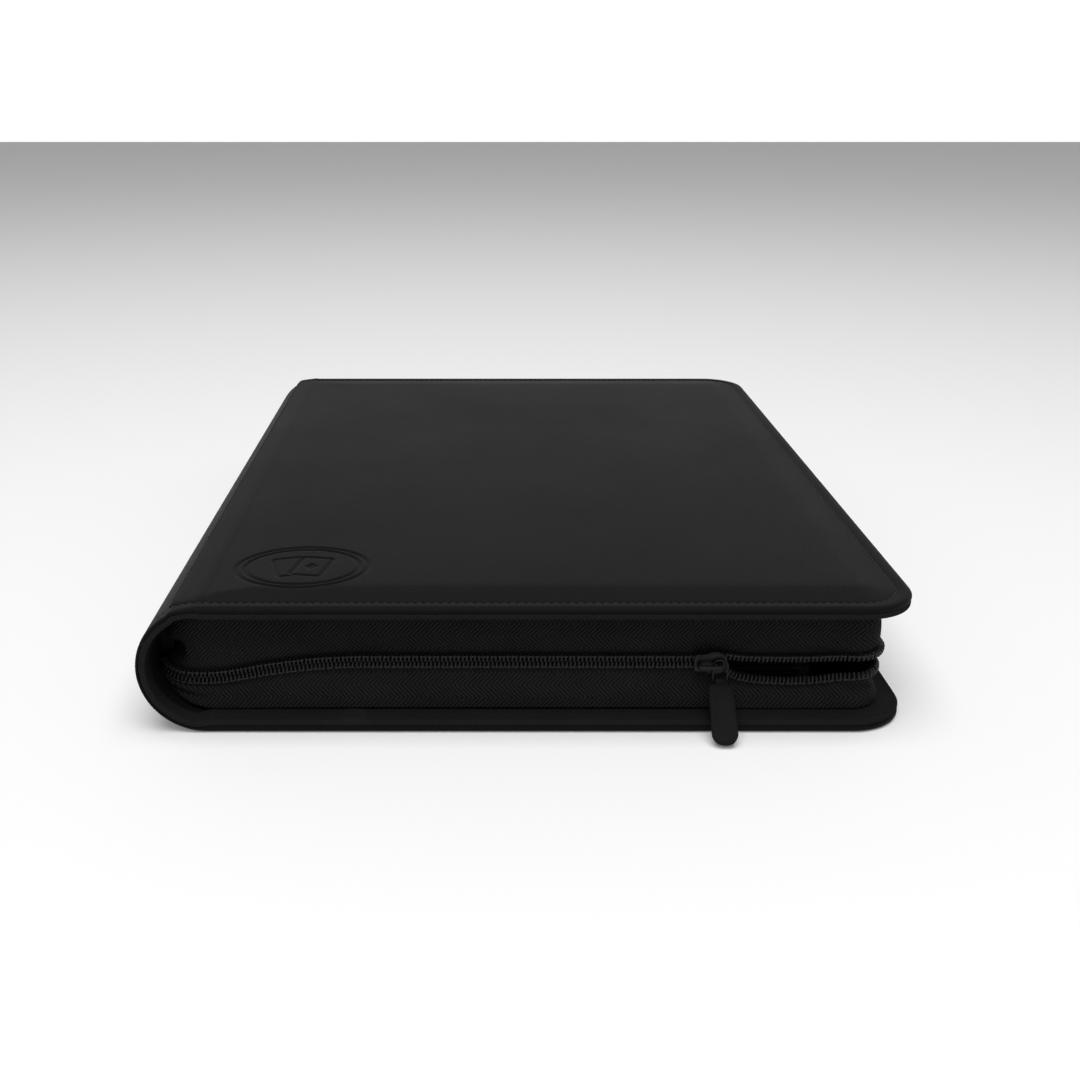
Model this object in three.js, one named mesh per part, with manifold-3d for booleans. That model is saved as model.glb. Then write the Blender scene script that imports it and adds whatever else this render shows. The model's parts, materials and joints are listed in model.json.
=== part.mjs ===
// A zip-around trading card binder: two padded covers joined by a rounded spine, closed on three
// sides by a zipped fabric gusset, with twenty side-loading pocket leaves bound to the spine.
// Millimetres, +Z up. The closed binder lies on its back cover: the spine is on the left (-X), the
// fore edge on the right (+X), and the edge with the zip slider faces -Y. The origin is the middle
// of the back cover's underside.
import * as THREE from "three";
import { mergeVertices } from "three/addons/utils/BufferGeometryUtils.js";
import Module from "manifold-3d";

const wasm = await Module();
wasm.setup();

// ---- Driving dimensions -------------------------------------------------------------------------
const caseWidth = 280; // over the rounded spine and the fore edge
const caseLength = 350; // along the spine
const caseHeight = 49; // over the two covers at their stitched borders
const coverCornerRadius = 21; // at the fore edge
const seat = 0.1; // clearance between two flat layers
const gap = 0.3; // clearance between curved or moving neighbours

// Layers of the covers.
const skinThickness = 0.8;
const backFoamThickness = 0.6;
const boardThickness = 1.5;
const liningThickness = 0.8;
const rimThickness = 0.9; // skin turned over the board's edge
const bandThickness = 1.8; // ribbed tape sewn along the inside of each cover's edge
const bandSetback = 0.5;

// The front cover's padding: how far in from the edge, and how far the skin rises there.
const crownProfile = [
  [7, 0],
  [12, 0.5],
  [22, 1.1],
  [50, 1.3],
];
const foamInset = 10;
const foamEdge = 0.25;

// Gusset and zip.
const gussetInset = 12.4;
const gussetThickness = 0.8;
const gussetCornerRadius = 12;
const gussetEndTuck = 8; // how far each end turns in at the spine
const gussetEndRun = 24; // over this length
const gussetEndClearance = 12; // from the outside of the spine to the end of the gusset
const coilDepth = 2.3; // one row of the coil, across the tape's face
const coilRowHeight = 2.5;
const rowPitch = 2.8; // between the two closed rows
const zipDrop = 1; // how far the zip hangs below the middle of the gusset
const sliderX = 67; // where the slider stands
const mouthStart = 4; // past the slider's middle, where the open rows begin to spread
const mouthDrop = 8; // how far the lower row drops in the open stretch
const mouthDropRun = 30; // over this length
const mouthRest = 3; // how far it hangs beyond the corner
const mouthLift = 1.1; // how far the slider's divider parts each row
const upperRowRest = 0.5; // how far the upper row stays lifted past the slider
const mouthCloseRun = 45; // both rows meet again over this length at the far end

// Slider, cast in one piece, with its bail.
const sliderLength = 12;
const sliderNarrow = 3.45; // half width at the closed end
const sliderWide = 4.6; // half width at the open end
const sliderNose = 1.6; // half width of the flat between the two channels' mouths
const shoulderStart = -2.5; // the body widens from here
const shoulderEnd = 1.5; // to here
const sliderPlate = 1.2;
const sliderClearance = 0.3;
const flangeWidth = 0.55;
const flangeReach = 2.2;
const dividerHalf = 0.8;
const dividerLength = 3.2;
const partingStart = -1; // where the rows begin to part, along the slider
const partingEnd = 2; // and where they are a divider apart
const innerPlate = 1.0;
const bailLeg = 1.7;
const bailHalfHeight = 0.9;
const bailOpening = 2.4; // between the plate and the bar
const bailBar = 1.4;
const bailSpan = 6; // between the legs

// Pull: a wire loop round the bail's right leg, and a moulded tab on the loop.
const wireRadius = 0.4;
const loopHalfWidth = 2.6;
const loopAbove = 2.0; // from the zip's centre line to the loop's top
const loopBelow = 6.4; // and to its bottom strand, which is the tab's pivot
const tabLength = 24.5;
const tabTipClearance = 0.4; // the tip leans out until it lies this far above the table
const tabThickness = 2.4;
const tabTopHalf = 4.5;
const tabEndHalf = 4.7;
const tabShoulder = 1.6;
const tabTopCorner = 1.4;
const tabEndCorner = 4;
const tabEyeRadius = 1.3;
const tabEyeBore = 0.65;
const tabNeckHalf = 1.8;

// Leaves.
const leafCount = 20;
const leafThickness = 0.6;
const leafEndClearance = 10.6; // from the gusset's outer face to each end of a leaf
const leafForeClearance = 19.6; // and to a leaf's fore edge
const leafSpineClearance = 1.5; // from the spine's start to the leaves that lie with the covers
const leafCornerRadius = 4;
const turningLeaves = [9, 10, 11, 12]; // these swing on the binding strip
const bindingThickness = 2.5;
const bindingHalfHeight = 10;

// ---- Derived places -----------------------------------------------------------------------------
const halfLength = caseLength / 2;
const foreX = caseWidth / 2;
const spineRadius = caseHeight / 2;
const hingeX = -foreX + spineRadius; // where the flat covers meet the rounded spine
const middleZ = caseHeight / 2; // height of the spine's centre
const zipZ = middleZ - zipDrop;
const gussetY = halfLength - gussetInset;
const gussetX = foreX - gussetInset;
const gussetEndX = -foreX + gussetEndClearance;
const gussetBendX = gussetEndX + gussetEndRun;
const leafHalfLength = gussetY - leafEndClearance;
const leafForeX = gussetX - leafForeClearance;
const backBoardZ = skinThickness + backFoamThickness + 2 * seat;
const backBoardTop = backBoardZ + boardThickness;
const backLiningTop = backBoardTop + seat + liningThickness;
const frontBoardTop = caseHeight - skinThickness - seat;
const frontBoardZ = frontBoardTop - boardThickness;
const frontLiningZ = frontBoardZ - seat - liningThickness;
const skinInnerRadius = spineRadius - skinThickness;
const boardOuterRadius = skinInnerRadius - gap;
const boardInnerRadius = boardOuterRadius - boardThickness;
const liningOuterRadius = boardInnerRadius - gap;
const liningInnerRadius = liningOuterRadius - liningThickness;
const bindingRadius = liningInnerRadius - gap;
const bindingRise = Math.asin(bindingHalfHeight / bindingRadius);
const bindingFaceX = hingeX - bindingRadius * Math.cos(bindingRise) + bindingThickness;

// ---- Materials ----------------------------------------------------------------------------------
function surface(color, roughness, metalness = 0) {
  return new THREE.MeshStandardMaterial({ color, roughness, metalness });
}
const skinMaterial = surface(0x202021, 0.62);
const foamMaterial = surface(0x3a3a3c, 0.95);
const boardMaterial = surface(0x6b655c, 0.9);
const liningMaterial = surface(0x161617, 0.9);
const bandMaterial = surface(0x141415, 0.85);
const gussetMaterial = surface(0x111112, 0.88);
const coilMaterial = surface(0x1a1a1b, 0.45);
const metalMaterial = surface(0x101011, 0.35, 0.6);
const rubberMaterial = surface(0x1e1e1f, 0.7);
const leafMaterial = surface(0x18181a, 0.4);

// ---- Geometry helpers ---------------------------------------------------------------------------
// Joins rings of points, each with the same count, into one closed skin with a fan at each end.
// A closed loft joins the last ring to the first instead.
function loft(rings, closed = false) {
  const count = rings[0].length;
  const faces = [];
  const last = closed ? rings.length : rings.length - 1;
  for (let i = 0; i < last; i++) {
    const here = i * count;
    const next = ((i + 1) % rings.length) * count;
    for (let j = 0; j < count; j++) {
      const k = (j + 1) % count;
      faces.push(here + j, here + k, next + k, here + j, next + k, next + j);
    }
  }
  if (!closed) {
    const end = (rings.length - 1) * count;
    for (let j = 1; j < count - 1; j++) {
      faces.push(0, j + 1, j, end, end + j, end + j + 1);
    }
  }
  const geometry = new THREE.BufferGeometry();
  const points = rings.flat(2);
  geometry.setAttribute("position", new THREE.Float32BufferAttribute(points, 3));
  geometry.setIndex(faces);
  return signedVolume(geometry) < 0 ? turnedOut(geometry) : geometry;
}

function signedVolume(geometry) {
  const position = geometry.getAttribute("position");
  const index = geometry.index.array;
  const [a, b, c] = [new THREE.Vector3(), new THREE.Vector3(), new THREE.Vector3()];
  let sum = 0;
  for (let i = 0; i < index.length; i += 3) {
    a.fromBufferAttribute(position, index[i]);
    b.fromBufferAttribute(position, index[i + 1]);
    c.fromBufferAttribute(position, index[i + 2]);
    sum += a.dot(b.cross(c));
  }
  return sum;
}

function turnedOut(geometry) {
  const index = geometry.index.array;
  for (let i = 0; i < index.length; i += 3) {
    [index[i + 1], index[i + 2]] = [index[i + 2], index[i + 1]];
  }
  return geometry;
}

// A flat shape in X and Y, from one height to another.
function slab(shape, bottom, top, curveSegments = 6) {
  const options = { depth: top - bottom, bevelEnabled: false, curveSegments };
  return new THREE.ExtrudeGeometry(shape, options).translate(0, 0, bottom);
}

// A shape drawn in X and Z, from one Y to another.
function slabAcross(shape, front, back, curveSegments = 10) {
  const options = { depth: back - front, bevelEnabled: false, curveSegments };
  const geometry = new THREE.ExtrudeGeometry(shape, options);
  return geometry.rotateX(Math.PI / 2).translate(0, back, 0);
}

function solidOf(geometry) {
  const bare = geometry.clone();
  bare.deleteAttribute("normal");
  bare.deleteAttribute("uv");
  const merged = mergeVertices(bare, 1e-4);
  const mesh = new wasm.Mesh({
    numProp: 3,
    vertProperties: merged.attributes.position.array,
    triVerts: new Uint32Array(merged.index.array),
  });
  return new wasm.Manifold(mesh);
}

function geometryOf(solid) {
  const mesh = solid.getMesh();
  const geometry = new THREE.BufferGeometry();
  geometry.setAttribute("position", new THREE.BufferAttribute(mesh.vertProperties, 3));
  geometry.setIndex(new THREE.BufferAttribute(mesh.triVerts, 1));
  return geometry;
}

function joined(...geometries) {
  return geometryOf(geometries.map(solidOf).reduce((a, b) => a.add(b)));
}

function cut(geometry, ...tools) {
  return geometryOf(tools.map(solidOf).reduce((a, b) => a.subtract(b), solidOf(geometry)));
}

const binder = new THREE.Group();

function piece(name, geometry, material, parent = binder) {
  const mesh = new THREE.Mesh(geometry, material);
  mesh.name = name;
  parent.add(mesh);
  return mesh;
}

// ---- Cover outlines -----------------------------------------------------------------------------
const cornerSteps = 6;

// Points of a cover's outline, square at the spine and rounded at the fore edge, set in by inset.
function coverOutline(inset) {
  const radius = Math.max(coverCornerRadius - inset, 2);
  const right = foreX - inset;
  const far = halfLength - inset;
  const left = hingeX + gap / 2 + inset;
  const points = [[left, -far]];
  for (const [side, from] of [[-1, -Math.PI / 2], [1, 0]]) {
    for (let i = 0; i <= cornerSteps; i++) {
      const angle = from + (i / cornerSteps) * (Math.PI / 2);
      const x = right - radius + radius * Math.cos(angle);
      points.push([x, side * (far - radius) + radius * Math.sin(angle)]);
    }
  }
  points.push([left, far]);
  return points;
}

function coverShape(inset, spineInset = inset) {
  const points = coverOutline(inset).map(([x, y]) => new THREE.Vector2(x, y));
  points[0].x = hingeX + gap / 2 + spineInset;
  points[points.length - 1].x = points[0].x;
  return new THREE.Shape(points);
}

function ringAt(inset, z) {
  return coverOutline(inset).map(([x, y]) => [x, y, z]);
}

// The edge band follows the two short edges and the fore edge, and is open at the spine.
function bandShape() {
  const outer = coverShape(bandSetback, 0).getPoints();
  const inner = coverShape(gussetInset - seat, 0).getPoints();
  return new THREE.Shape([...outer, ...inner.reverse()]);
}

// ---- Back cover ---------------------------------------------------------------------------------
function backSkin() {
  const tray = slab(coverShape(0), 0, backBoardTop - seat);
  const pocket = slab(coverShape(rimThickness, -1), skinThickness, backBoardTop + 1);
  return cut(tray, pocket);
}

function buildBackCover() {
  const foamZ = skinThickness + seat;
  const boardShape = coverShape(rimThickness + seat, 0);
  const liningZ = backBoardTop + seat;
  piece("back_skin", backSkin(), skinMaterial);
  piece("back_foam", slab(boardShape, foamZ, foamZ + backFoamThickness), foamMaterial);
  piece("back_board", slab(boardShape, backBoardZ, backBoardTop), boardMaterial);
  piece("back_edge_band", slab(bandShape(), liningZ, liningZ + bandThickness), bandMaterial);
  const liningShape = coverShape(gussetInset + seat, 0);
  piece("back_lining", slab(liningShape, liningZ, backLiningTop), liningMaterial);
}

// ---- Front cover --------------------------------------------------------------------------------
function frontSkin() {
  const top = caseHeight;
  const under = top - skinThickness;
  const rimZ = frontBoardZ + seat;
  const chamfer = 0.6;
  const inside = crownProfile.map(([inset, rise]) => ringAt(inset, under + rise)).reverse();
  const outside = crownProfile.map(([inset, rise]) => ringAt(inset, top + rise));
  const rim = [
    ringAt(rimThickness, under),
    ringAt(rimThickness, rimZ),
    ringAt(0, rimZ),
    ringAt(0, top - chamfer),
    ringAt(chamfer, top),
  ];
  const shell = loft([...inside, ...rim, ...outside]);
  // The rim runs round three sides only, so its fourth side is cut away at the spine.
  const rimHeight = under - rimZ + chamfer;
  const spineSide = new THREE.BoxGeometry(4 * rimThickness, 2 * (halfLength - rimThickness), rimHeight);
  return cut(shell, spineSide.translate(hingeX, 0, under - rimHeight / 2));
}

function frontFoam() {
  const bottom = frontBoardTop + seat / 2;
  const rings = [ringAt(foamInset, bottom), ringAt(foamInset, bottom + foamEdge)];
  for (const [inset, rise] of crownProfile.slice(1)) {
    rings.push(ringAt(inset, caseHeight - skinThickness + rise - seat));
  }
  return loft(rings);
}

function buildFrontCover() {
  const boardShape = coverShape(rimThickness + seat, 0);
  const bandTop = frontBoardZ - seat;
  piece("front_skin", frontSkin(), skinMaterial);
  piece("front_foam", frontFoam(), foamMaterial);
  piece("front_board", slab(boardShape, frontBoardZ, frontBoardTop), boardMaterial);
  piece("front_edge_band", slab(bandShape(), bandTop - bandThickness, bandTop), bandMaterial);
  const liningShape = coverShape(gussetInset + seat, 0);
  piece("front_lining", slab(liningShape, frontLiningZ, bandTop), liningMaterial);
}

// ---- Spine --------------------------------------------------------------------------------------
// The rounded spine is a half circle in three equal parts: a soft fold, the stiffened panel and a
// second soft fold. Angles run from straight down, round by -X, to straight up.
const spineParts = { lower_fold: 0, spine: 1, upper_fold: 2 };
const partAngle = Math.PI / 3;

function spineArc(part, outer, inner, inset = 0) {
  const slack = gap / 2 / spineRadius;
  const first = -Math.PI / 2 - part * partAngle - slack;
  const second = first - partAngle + 2 * slack;
  const shape = new THREE.Shape();
  shape.absarc(hingeX, middleZ, outer, first, second, true);
  shape.absarc(hingeX, middleZ, inner, second, first, false);
  return slabAcross(shape, -halfLength + inset, halfLength - inset);
}

function pageBinding() {
  const shape = new THREE.Shape();
  shape.absarc(hingeX, middleZ, bindingRadius, Math.PI - bindingRise, Math.PI + bindingRise, false);
  shape.lineTo(bindingFaceX, middleZ - bindingHalfHeight);
  shape.lineTo(bindingFaceX, middleZ + bindingHalfHeight);
  return slabAcross(shape, -leafHalfLength, leafHalfLength);
}

function buildSpine() {
  for (const [name, part] of Object.entries(spineParts)) {
    const stiff = name === "spine";
    const middle = stiff ? "spine_board" : name + "_foam";
    const middleMaterial = stiff ? boardMaterial : foamMaterial;
    const filling = spineArc(part, boardOuterRadius, boardInnerRadius, rimThickness);
    const lining = spineArc(part, liningOuterRadius, liningInnerRadius);
    piece(name + "_skin", spineArc(part, spineRadius, skinInnerRadius), skinMaterial);
    piece(middle, filling, middleMaterial);
    piece(name + "_lining", lining, liningMaterial);
  }
  piece("page_binding", pageBinding(), bandMaterial);
}

// ---- Gusset and zip -----------------------------------------------------------------------------
function smooth(t) {
  const u = THREE.MathUtils.clamp(t, 0, 1);
  return u * u * (3 - 2 * u);
}

// Stations along the outside of the gusset, from the spine at -Y, round the fore edge, to the spine
// at +Y. Each has its place, its outward normal and its distance from the start.
function gussetStations() {
  const stations = [];
  const cornerX = gussetX - gussetCornerRadius;
  const cornerY = gussetY - gussetCornerRadius;
  const halfSlider = sliderLength / 2;
  const sliderXs = [-halfSlider, partingStart, 0, partingEnd, halfSlider].map((x) => sliderX + x);
  const frontXs = [];
  for (let i = 0; i < 8; i++) frontXs.push(gussetEndX + (i / 8) * gussetEndRun);
  frontXs.push(gussetBendX - gap); // the turned-in end piece stops here
  for (let i = 0; i <= 34; i++) {
    const x = gussetBendX + (i / 34) * (cornerX - gussetBendX);
    if (Math.abs(x - sliderX) > halfSlider + 1) frontXs.push(x);
  }
  frontXs.push(...sliderXs);
  frontXs.sort((a, b) => a - b);
  const tuck = (x) => gussetEndTuck * smooth((gussetBendX - x) / gussetEndRun);
  const front = frontXs.map((x) => [x, -gussetY + tuck(x)]);
  const corner = (side) => {
    const from = side < 0 ? -Math.PI / 2 : 0;
    return [1, 2, 3, 4, 5].map((i) => {
      const angle = from + (i / 6) * (Math.PI / 2);
      const x = cornerX + gussetCornerRadius * Math.cos(angle);
      return [x, side * cornerY + gussetCornerRadius * Math.sin(angle)];
    });
  };
  const side = [];
  for (let i = 0; i <= 12; i++) side.push([gussetX, -cornerY + (i / 12) * 2 * cornerY]);
  const back = front.map(([x, y]) => [x, -y]).reverse();
  const line = [...front, ...corner(-1), ...side, ...corner(1), ...back];
  let distance = 0;
  line.forEach(([x, y], i) => {
    const before = line[Math.max(i - 1, 0)];
    const after = line[Math.min(i + 1, line.length - 1)];
    const [dx, dy] = [after[0] - before[0], after[1] - before[1]];
    const size = Math.hypot(dx, dy);
    if (i > 0) distance += Math.hypot(x - before[0], y - before[1]);
    stations.push({ x, y, nx: dy / size, ny: -dx / size, s: distance });
  });
  return stations;
}

const stations = gussetStations();
const zipEnd = stations[stations.length - 1].s;
const sliderS = stations.find((p) => p.x > sliderX - 0.01 && p.y < 0).s;

// How open the zip is at s: 0 where it is closed, 1 past the slider, 0 again at the far end.
function openness(s) {
  const parted = (s - sliderS - partingStart) / (partingEnd - partingStart);
  return smooth(parted) * smooth((zipEnd - s) / mouthCloseRun);
}

function lowerRowZ(s) {
  const past = (s - sliderS - mouthStart) / mouthDropRun;
  const hang = THREE.MathUtils.lerp(mouthDrop, mouthRest, smooth(past - 1));
  const drop = THREE.MathUtils.lerp(mouthLift, hang, smooth(past));
  return zipZ - rowPitch / 2 - drop * openness(s);
}

function upperRowZ(s) {
  const past = (s - sliderS - mouthStart) / mouthDropRun;
  const lift = THREE.MathUtils.lerp(mouthLift, upperRowRest, smooth(past));
  return zipZ + rowPitch / 2 + lift * openness(s);
}

// One ring of a wall or a bead: a rectangle that stands from outside to inside of the gusset's face.
function sectionAt(p, outward, inward, bottom, top) {
  const at = (offset, z) => [p.x + p.nx * offset, p.y + p.ny * offset, z];
  return [at(outward, bottom), at(outward, top), at(inward, top), at(inward, bottom)];
}

// The covers' inner surface at x, under or over the gusset's ends where the spine rises.
function innerRise(x) {
  const past = hingeX - x;
  if (past <= 0) return 0;
  const inner = liningInnerRadius - gap;
  return inner - Math.sqrt(inner * inner - past * past);
}

// The gusset is pieced: each turned-in end at the spine is sewn to the long wall between them.
const endStations = stations.findIndex((p) => p.x > gussetBendX - gap / 2);
const gussetParts = {
  "": stations.slice(endStations, -endStations),
  _near_end: stations.slice(0, endStations),
  _far_end: stations.slice(-endStations),
};

function lowerGusset(part) {
  const flat = backLiningTop + seat;
  const curved = middleZ - liningInnerRadius + gap;
  return loft(
    part.map((p) => {
      const bottom = Math.max(flat, curved + innerRise(p.x));
      return sectionAt(p, 0, -gussetThickness, bottom, lowerRowZ(p.s));
    }),
  );
}

function upperGusset(part) {
  const flat = frontLiningZ - seat;
  const curved = middleZ + liningInnerRadius - gap;
  return loft(
    part.map((p) => {
      const top = Math.min(flat, curved - innerRise(p.x));
      return sectionAt(p, 0, -gussetThickness, upperRowZ(p.s), top);
    }),
  );
}

// A row of the coil as the plain bead that it fills, between the two stops.
function coilBead(rowZ) {
  const ends = stations.slice(1, -1);
  const half = coilRowHeight / 2;
  return loft(
    ends.map((p) => sectionAt(p, seat + coilDepth, seat, rowZ(p.s) - half, rowZ(p.s) + half)),
  );
}

// A stop is a clip crimped over the first or last turns of one row.
function stopClip(nearEnd, rowZ) {
  const pair = nearEnd ? stations.slice(0, 2) : stations.slice(-2);
  const between = (t) => {
    const p = { ...pair[0] };
    for (const key of ["x", "y", "nx", "ny", "s"]) p[key] += t * (pair[1][key] - pair[0][key]);
    return p;
  };
  const half = coilRowHeight / 2;
  const clip = (nearEnd ? [0.05, 0.85] : [0.15, 0.95]).map(between);
  return loft(
    clip.map((p) => sectionAt(p, seat + coilDepth, seat, rowZ(p.s) - half, rowZ(p.s) + half)),
  );
}

function buildGusset() {
  for (const [suffix, part] of Object.entries(gussetParts)) {
    piece("lower_gusset" + suffix, lowerGusset(part), gussetMaterial);
    piece("upper_gusset" + suffix, upperGusset(part), gussetMaterial);
  }
  piece("lower_zip_coil", coilBead(lowerRowZ), coilMaterial);
  piece("upper_zip_coil", coilBead(upperRowZ), coilMaterial);
  piece("zip_start_stop", stopClip(true, lowerRowZ), metalMaterial);
  piece("lower_zip_end_stop", stopClip(false, lowerRowZ), metalMaterial);
  piece("upper_zip_end_stop", stopClip(false, upperRowZ), metalMaterial);
}

// ---- Slider -------------------------------------------------------------------------------------
// The slider's own frame: X along the zip with the open end at +X, Y into the binder from the face
// of the gusset, and Z up from the zip's centre line.
const slider = new THREE.Group();
slider.position.set(sliderX, -gussetY, zipZ);
binder.add(slider);

const plateInnerY = -(seat + coilDepth + sliderClearance);
const plateOuterY = plateInnerY - sliderPlate;
const barInnerY = plateOuterY - bailOpening;
const barOuterY = barInnerY - bailBar;
const bailLegX = bailSpan / 2 - 0.5; // inner face of the right leg
const swingX = bailLegX + bailLeg / 2; // the loop turns round the right leg

function sliderPlateShape() {
  const half = sliderLength / 2;
  const waist = (shoulderStart + shoulderEnd) / 2;
  const shape = new THREE.Shape();
  shape.moveTo(-half, -sliderNarrow);
  shape.lineTo(shoulderStart, -sliderNarrow);
  shape.quadraticCurveTo(waist, -sliderNarrow, shoulderEnd, -sliderWide);
  shape.quadraticCurveTo(half, -sliderWide, half, -sliderNose);
  shape.lineTo(half, sliderNose);
  shape.quadraticCurveTo(half, sliderWide, shoulderEnd, sliderWide);
  shape.quadraticCurveTo(waist, sliderNarrow, shoulderStart, sliderNarrow);
  shape.lineTo(-half, sliderNarrow);
  shape.closePath();
  return shape;
}

// A flange runs along one side of the plate and turns in over the edge of a row.
function flangeShape(side) {
  const half = sliderLength / 2;
  const edge = (x, out) => new THREE.Vector2(x, side * out);
  return new THREE.Shape([
    edge(-half, sliderNarrow),
    edge(shoulderStart, sliderNarrow),
    edge(shoulderEnd, sliderWide),
    edge(shoulderEnd, sliderWide - flangeWidth),
    edge(shoulderStart, sliderNarrow - flangeWidth),
    edge(-half, sliderNarrow - flangeWidth),
  ]);
}

function buildSlider() {
  const innerY = gussetThickness + sliderClearance;
  const steps = 5;
  const bite = 0.2; // how far joined pieces run into each other
  const front = slabAcross(sliderPlateShape(), plateOuterY, plateInnerY, steps);
  const back = slabAcross(sliderPlateShape(), innerY, innerY + innerPlate, steps);
  const flanges = [-1, 1].map((side) => {
    return slabAcross(flangeShape(side), plateInnerY - bite, plateInnerY + flangeReach, steps);
  });
  const dividerDepth = innerY - plateInnerY + 2 * bite;
  const divider = new THREE.BoxGeometry(dividerLength, dividerDepth, 2 * dividerHalf);
  divider.translate(partingEnd + dividerLength / 2, (innerY + plateInnerY) / 2, 0);
  piece("slider_body", joined(front, back, ...flanges, divider), metalMaterial, slider);

  const legLeft = bailLegX - bailSpan;
  const bail = new THREE.Shape();
  bail.moveTo(legLeft - bailLeg, plateOuterY - seat);
  bail.lineTo(legLeft, plateOuterY - seat);
  bail.lineTo(legLeft, barInnerY);
  bail.lineTo(bailLegX, barInnerY);
  bail.lineTo(bailLegX, plateOuterY - seat);
  bail.lineTo(bailLegX + bailLeg, plateOuterY - seat);
  bail.lineTo(bailLegX + bailLeg, barInnerY);
  bail.quadraticCurveTo(bailLegX + bailLeg, barOuterY, bailLegX, barOuterY);
  bail.lineTo(legLeft, barOuterY);
  bail.quadraticCurveTo(legLeft - bailLeg, barOuterY, legLeft - bailLeg, barInnerY);
  bail.closePath();
  piece("slider_bail", slab(bail, -bailHalfHeight, bailHalfHeight, 4), metalMaterial, slider);
}

// ---- Pull ---------------------------------------------------------------------------------------
const loopY = plateOuterY - bailOpening / 2;

// How far the tab leans out from straight down for its tip to meet the table.
function tabTilt() {
  const drop = zipZ - loopBelow - tabTipClearance;
  const reach = Math.hypot(tabLength, tabThickness / 2);
  return Math.acos(Math.min(drop / reach, 1)) + Math.atan2(tabThickness / 2, tabLength);
}

// A wire bent to a round-cornered oblong, hanging in the bail's opening.
function pullLoop() {
  const topRadius = 2.2;
  const bottomRadius = 1.4;
  const corners = [
    [loopHalfWidth - topRadius, loopAbove - topRadius, topRadius, 0],
    [-loopHalfWidth + topRadius, loopAbove - topRadius, topRadius, 1],
    [-loopHalfWidth + bottomRadius, -loopBelow + bottomRadius, bottomRadius, 2],
    [loopHalfWidth - bottomRadius, -loopBelow + bottomRadius, bottomRadius, 3],
  ];
  const rings = [];
  for (const [x, z, radius, quarter] of corners) {
    for (let i = 0; i <= 4; i++) {
      const angle = (quarter + i / 4) * (Math.PI / 2);
      const [nx, nz] = [Math.cos(angle), Math.sin(angle)];
      const ring = [];
      for (let k = 0; k < 8; k++) {
        const turn = (k / 8) * 2 * Math.PI;
        const out = radius + wireRadius * Math.cos(turn);
        ring.push([x + nx * out, wireRadius * Math.sin(turn), z + nz * out]);
      }
      rings.push(ring);
    }
  }
  return loft(rings, true);
}

// The tab hangs down its own Z from the eye that the loop's bottom strand runs through.
function pullTab() {
  const half = tabThickness / 2;
  const shape = new THREE.Shape();
  shape.moveTo(-tabNeckHalf, 0);
  shape.lineTo(-tabNeckHalf, -tabShoulder);
  shape.lineTo(-tabTopHalf + tabTopCorner, -tabShoulder);
  shape.quadraticCurveTo(-tabTopHalf, -tabShoulder, -tabTopHalf, -tabShoulder - tabTopCorner);
  shape.lineTo(-tabEndHalf, -tabLength + tabEndCorner);
  shape.quadraticCurveTo(-tabEndHalf, -tabLength, -tabEndHalf + tabEndCorner, -tabLength);
  shape.lineTo(tabEndHalf - tabEndCorner, -tabLength);
  shape.quadraticCurveTo(tabEndHalf, -tabLength, tabEndHalf, -tabLength + tabEndCorner);
  shape.lineTo(tabTopHalf, -tabShoulder - tabTopCorner);
  shape.quadraticCurveTo(tabTopHalf, -tabShoulder, tabTopHalf - tabTopCorner, -tabShoulder);
  shape.lineTo(tabNeckHalf, -tabShoulder);
  shape.lineTo(tabNeckHalf, 0);
  shape.closePath();
  const rod = (radius, width) => {
    return new THREE.CylinderGeometry(radius, radius, width, 20).rotateZ(Math.PI / 2);
  };
  const blade = slabAcross(shape, -half, half, 6);
  const eye = rod(tabEyeRadius, 2 * tabNeckHalf);
  return cut(joined(blade, eye), rod(tabEyeBore, 4 * tabNeckHalf));
}

function buildPull() {
  const loopFrame = new THREE.Group();
  loopFrame.position.set(swingX, loopY, 0);
  slider.add(loopFrame);
  piece("pull_loop", pullLoop(), metalMaterial, loopFrame);
  const tab = piece("pull_tab", pullTab(), rubberMaterial, loopFrame);
  tab.position.set(0, 0, -loopBelow);
  tab.rotation.x = -tabTilt();
}

// ---- Leaves -------------------------------------------------------------------------------------
function leafShape(left) {
  const [right, far, r] = [leafForeX, leafHalfLength, leafCornerRadius];
  const shape = new THREE.Shape();
  shape.moveTo(left, -far);
  shape.lineTo(right - r, -far);
  shape.absarc(right - r, -far + r, r, -Math.PI / 2, 0, false);
  shape.absarc(right - r, far - r, r, 0, Math.PI / 2, false);
  shape.lineTo(left, far);
  shape.closePath();
  return shape;
}

function buildLeaves() {
  const bottom = backLiningTop + 3 * gap;
  const top = frontLiningZ - 3 * gap - leafThickness;
  for (let i = 0; i < leafCount; i++) {
    const z = bottom + (i / (leafCount - 1)) * (top - bottom);
    const turning = turningLeaves.includes(i + 1);
    const left = turning ? bindingFaceX + 3 * gap : hingeX + leafSpineClearance;
    const name = "leaf_" + String(i + 1).padStart(2, "0");
    piece(name, slab(leafShape(left), z, z + leafThickness, 3), leafMaterial);
  }
}

buildBackCover();
buildFrontCover();
buildSpine();
buildGusset();
buildSlider();
buildPull();
buildLeaves();

export default binder;
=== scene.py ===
"""A zip-around trading card binder, closed, lying on its back cover with the rounded spine at the left.

Sizes are written in millimetres and turned into metres where a mesh is made. The file follows the
binder as it is sewn together: covers, tape, lining, gusset, zip, slider, pull and pocket leaves.
"""

import json
import math

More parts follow.
